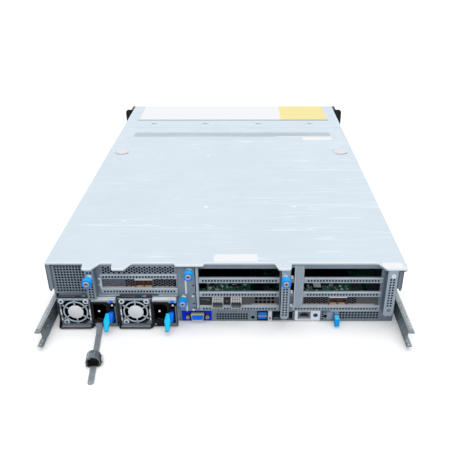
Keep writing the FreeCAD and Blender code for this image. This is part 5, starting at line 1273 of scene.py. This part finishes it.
def build_lever():
    pivot_x = centre("mezzanine_lever")[0]
    foot, top = low("mezzanine_lever")[2], high("mezzanine_lever")[2]
    tip = depth(low("mezzanine_lever")[1])
    lever = Piece("mezzanine_tab")
    # the barrel and back are a deep blue copy and the top an ice copy of the blue plastic: painted shade and
    # painted light
    lever.turned((pivot_x, -1.6, foot), "z", [(1.9, 0.0), (1.9, top - foot)], "deep_blue", 24)
    lever.box(pivot_x - 1.5, pivot_x + 1.5, -4.4, -2.0, foot, top, "deep_blue")
    lever.along_z([(pivot_x - 2.9, tip + 0.3), (pivot_x + 2.9, tip + 0.3), (pivot_x + 2.9, -4.6),
                   (pivot_x + 1.5, -3.7),
                   (pivot_x - 1.5, -3.7), (pivot_x - 2.9, -4.6)], foot, top - 0.3, "azure")
    lever.box(pivot_x - 2.7, pivot_x + 2.7, tip + 0.5, -4.8, top - 0.5, top, "ice")
    for a, b in ((-2.6, -1.4), (-0.5, 0.7), (1.6, 2.6)):
        lever.box(pivot_x + a, pivot_x + b, tip, tip + 0.5, foot + 0.6, top - 1.0, "azure")
    lever.done("mezzanine_lever", "mezzanine_lever", 0.3)


# ------------------------------------------------------------------ strap and clamp
def along_strap(s):
    """X and depth of the strap's middle line, s from its root."""
    return STRAP_ROOT[0] + s * math.sin(STRAP_TURN), STRAP_ROOT[1] - s * math.cos(STRAP_TURN)


def build_clamp():
    """Glossy open loop on a base, with a hinged buckle, painted highlight strips on its top and a round thumb
    tab on its right.
    """
    origin = along_strap(72)
    piece = Piece("strap_clamp")
    base = low("cable_clamp")[2]
    foot = base + 1.5
    loop_z = foot + 1.5 + 3.4
    r = 8.4
    rings = []
    steps = 28
    start, end = math.radians(-28), math.radians(208)
    for d in (-7.0, -6.4, 6.4, 7.0):
        outer = r if abs(d) < 6.8 else r - 0.4
        ring = []
        for k in range(steps + 1):
            t = start + (end - start) * k / steps
            ring.append((origin[0] + outer * math.cos(t), origin[1] + d, loop_z + outer * math.sin(t)))
        for k in range(steps, -1, -1):
            t = start + (end - start) * k / steps
            inner = r - 1.5 if abs(d) < 6.8 else r - 1.2
            ring.append((origin[0] + inner * math.cos(t), origin[1] + d, loop_z + inner * math.sin(t)))
        rings.append([at(*p) for p in ring])
    piece.loft(rings, "clamp")
    x, d = origin
    piece.box(x - r + 0.1, x + r - 0.1, d - 7, d + 7, foot, foot + 1.5, "black")
    for side in (-1, 1):
        piece.box(x + side * 4.8 - 1.0, x + side * 4.8 + 1.0, d - 7, d + 7, base, foot, "clamp")
    # painted highlights: two light strips on the loop's top
    piece.box(x - 5.4, x - 2.6, d - 6.6, d + 6.6, loop_z + r - 3.0, loop_z + r - 1.3, "zinc_lit")
    piece.box(x + 1.2, x + 2.6, d - 6.6, d + 6.6, loop_z + r - 1.6, loop_z + r - 0.35, "zinc_lit")
    piece.box(x - 3.2, x + 0.6, d - 6.8, d + 1.5, loop_z + r - 1.1, loop_z + r - 0.1, "grey")
    for k in range(4):
        piece.box(x - 3.0, x + 3.0, d - 6.0 + 2 * k, d - 5.2 + 2 * k, loop_z + r - 0.3, loop_z + r, "zinc")
    piece.turned((x + r - 0.5, d, foot + 4.6), "x", [(4.6, 0.0), (4.6, 1.7), (4.3, 1.9)], "dark", 32)
    piece.turned((x + r + 1.8, d, foot + 4.6), "x", [(4.3, -0.3), (4.3, 0.45), (3.8, 0.6)], "rim", 28)
    piece.box(x - r + 0.3, x - r + 1.4, d - 5.5, d + 5.5, foot + 1.2, foot + 5.5, "grey")
    made = piece.done("cable_clamp", "cable_clamp")
    pivot = at(*origin, 0)
    spin = Matrix.Translation(pivot) @ Matrix.Rotation(STRAP_TURN, 4, "Z") @ Matrix.Translation(-pivot)
    made.data.transform(spin)


def build_strap_ribs():
    """Fine cross ribs along the strap."""
    c, s = math.cos(STRAP_TURN), math.sin(STRAP_TURN)
    piece = Piece("strap_ribs")
    for k in range(44):
        x, d = along_strap(18.0 + 2.0 * k)
        outline = [(x + a * c - b * s, d + a * s + b * c) for a, b in rectangle(-2.4, 2.4, -0.35, 0.35)]
        piece.along_z(outline, 1.2, 1.42, "grey")
    piece.done("psu_left", None)


# ------------------------------------------------------------------ rails
def build_rails():
    for side, name in ((-1, "rail_left"), (1, "rail_right")):
        lo, hi = low(name), high(name)
        outer, inner = (lo[0], hi[0]) if side < 0 else (hi[0], lo[0])
        tail = depth(lo[1])
        # raised lines along each flange, drawn bright as painted highlights
        piece = Piece(name + "_highlight_ribs")
        for k in range(3):
            x = outer - side * (0.9 + 1.4 * k)
            piece.along_y(regular(x, hi[2], 0.42, 8), tail + 8, tail + 360, "rail_highlight")
        x = inner + side * 1.3 + side * 0.3
        piece.along_y(regular(x, hi[2] - 1.9, 0.45, 8), tail + 9, tail + 360, "rail_highlight")
        piece.done("chassis", None)


# ------------------------------------------------------------------ front
def build_front():
    """Perforated carrier faces with release buttons and light pipes."""
    for k in range(8):
        name = "drive_carrier_%d" % (k + 1)
        lo, hi = low(name), high(name)
        face = depth(hi[1])
        piece = Piece("carrier_front_%d" % (k + 1))
        x0, x1, z0, z1 = lo[0], hi[0], lo[2], hi[2]
        holes = honeycomb(x0 + 33, x1 - 17, z0 + 8.4, z1 - 8.4, 2.0, 4.6)
        piece.sheet(rounded(x0 + 31, x1 - 15, z0 + 7.4, z1 - 7.4, 1.5, 3), holes, face - 0.7, 0.6,
                    "dark_zinc_and_shade")
        piece.along_y(rounded(x0 + 4, x0 + 20, z0 + 5, z1 - 5, 2.0, 4), face - 1.0, face - 0.02, "grey")
        piece.along_y(rounded(x0 + 22.4, x0 + 27.6, z0 + 8, z1 - 8, 1.2, 3), face - 2.4, face - 0.3, "blue")
        for j, material in enumerate(("usb_blue", "brass")):
            piece.along_y(regular(x1 - 5.5, z0 + 10 + 5 * j, 0.9, 12), face - 0.6, face - 0.02, material)
        piece.done(name, None, 0.2)


# ------------------------------------------------------------------ main board
def build_inside():
    """Parts on the main board that show when the cover is off or through the open slots."""
    top = high("main_board")[2]
    piece = Piece("board_parts")
    maker = random.Random(21)
    for _ in range(120):
        x = maker.uniform(-55, 112)
        d = maker.uniform(24, 250)
        w, h = maker.choice(((3, 3), (6, 4), (4, 8), (9, 9)))
        piece.box(x, x + w, d, d + h, top, top + maker.uniform(0.8, 4.0),
                  maker.choice(("dark", "black", "zinc", "brass")))
    for x in (20, 40):
        piece.box(x, x + 7, 60, 150, top, top + 9, "dark")
    piece.done("chassis", None)


# ------------------------------------------------------------------ CAD nodes that keep their shape
KEPT = {
    "chassis_base": "zinc", "psu_bay": "zinc_lit", "front_top_panel": "cover", "ear_left": "ear",
    "ear_right": "ear",
    "power_button": "white", "rail_left": "rail", "rail_right": "rail", "riser_boards": "pcb",
    "cable_strap": "strap",
    "main_board": "pcb", "heatsinks": "aluminium", "memory_modules": "pcb", "fan_wall": "dark",
    "drive_cage": "zinc",
    "drive_backplane": "pcb", "psu_left_fan_rotor": "black", "psu_right_fan_rotor": "black",
}
for k in range(4):
    KEPT["fan_rotor_%d" % (k + 1)] = "dark"
for k in range(8):
    KEPT["drive_carrier_%d" % (k + 1)] = "ear"


def dress_kept():
    for name, material in KEPT.items():
        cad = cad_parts[name]
        cad.data.materials.clear()
        cad.data.materials.append(M[material])
        cad.data.shade_smooth()
        cad.data.set_sharp_from_angle(angle=math.radians(30))


# ------------------------------------------------------------------ light, floor and camera
def build_stage():
    """Floor and world that are white to the camera and greyer to the object, and two broad suns."""
    floor_mesh = bpy.data.meshes.new("floor")
    size = 30.0
    corners = [(x, y, 0) for x, y in rectangle(-size, size, -size, size)]
    floor_mesh.from_pydata(corners, [], [(0, 1, 2, 3)])
    floor = bpy.data.objects.new("floor", floor_mesh)
    floor.location.z = -0.0005
    bpy.context.scene.collection.objects.link(floor)
    mat, tree = new_material("floor_white")
    pale = node(tree, "BsdfDiffuse", {"Color": (1.0, 1.0, 1.0)})
    glow = node(tree, "Emission", {"Strength": 0.14})
    choice = {0: node(tree, "LightPath", {}, "Is Camera Ray"),
              1: node(tree, "BsdfDiffuse", {"Color": (0.5, 0.51, 0.53)}),
              2: node(tree, "AddShader", {0: pale, 1: glow})}
    feed(tree, tree.nodes["Material Output"].inputs["Surface"], node(tree, "MixShader", choice))
    floor_mesh.materials.append(mat)

    world = bpy.data.worlds.new("studio")
    bpy.context.scene.world = world
    world.use_nodes = True
    tree = world.node_tree
    seen = node(tree, "Math", {0: node(tree, "LightPath", {}, "Is Camera Ray"),
                               1: node(tree, "LightPath", {}, "Is Glossy Ray")}, operation="MAXIMUM")
    background = tree.nodes["Background"]
    feed(tree, background.inputs["Color"], (1.0, 1.0, 1.0))
    feed(tree, background.inputs["Strength"], ramp(tree, seen, 0.0, 1.0, 0.6, 1.0))

    for name, power, tilt, turn, spread in (("key", 0.93, -9, -12, 45), ("fill", 1.05, 62, 8, 80)):
        lamp = bpy.data.lights.new(name, "SUN")
        lamp.energy = power
        lamp.angle = math.radians(spread)
        holder = bpy.data.objects.new(name, lamp)
        holder.rotation_euler = (math.radians(tilt), 0, math.radians(turn))
        bpy.context.scene.collection.objects.link(holder)


def build_camera():
    """Camera above and behind the server, level, looking down at it."""
    data = bpy.data.cameras.new("camera")
    data.sensor_width = 36.0
    data.lens = 47.59
    data.shift_x = -0.0416
    data.shift_y = 0.0847
    data.clip_start = 0.01
    data.clip_end = 100.0
    camera = bpy.data.objects.new("camera", data)
    camera.location = (22.7 * MM, (REAR - 625.1) * MM, 446.07 * MM)
    camera.rotation_euler = (math.radians(60.119), 0, 0)
    bpy.context.scene.collection.objects.link(camera)
    bpy.context.scene.camera = camera


build_camera()
build_stage()
build_cover()
build_cover_marks()
build_buttons()
build_front_top()
build_vent_panel()
build_left_cage()
build_middle_cage()
build_right_cage()
build_io_panel()
build_service_connectors()
build_thumbscrews()
build_left_card()
build_right_card()
build_optical_card()
for psu_side in ("left", "right"):
    build_psu(psu_side)
    build_guard(psu_side)
    build_inlet(psu_side)
    build_latch(psu_side)
build_display_port()
build_usb()
build_lan()
build_id_button()
build_mezzanine()
build_lever()
build_clamp()
build_strap_ribs()
build_rails()
build_front()
build_inside()
dress_kept()
bpy.context.scene.view_settings.view_transform = "Standard"
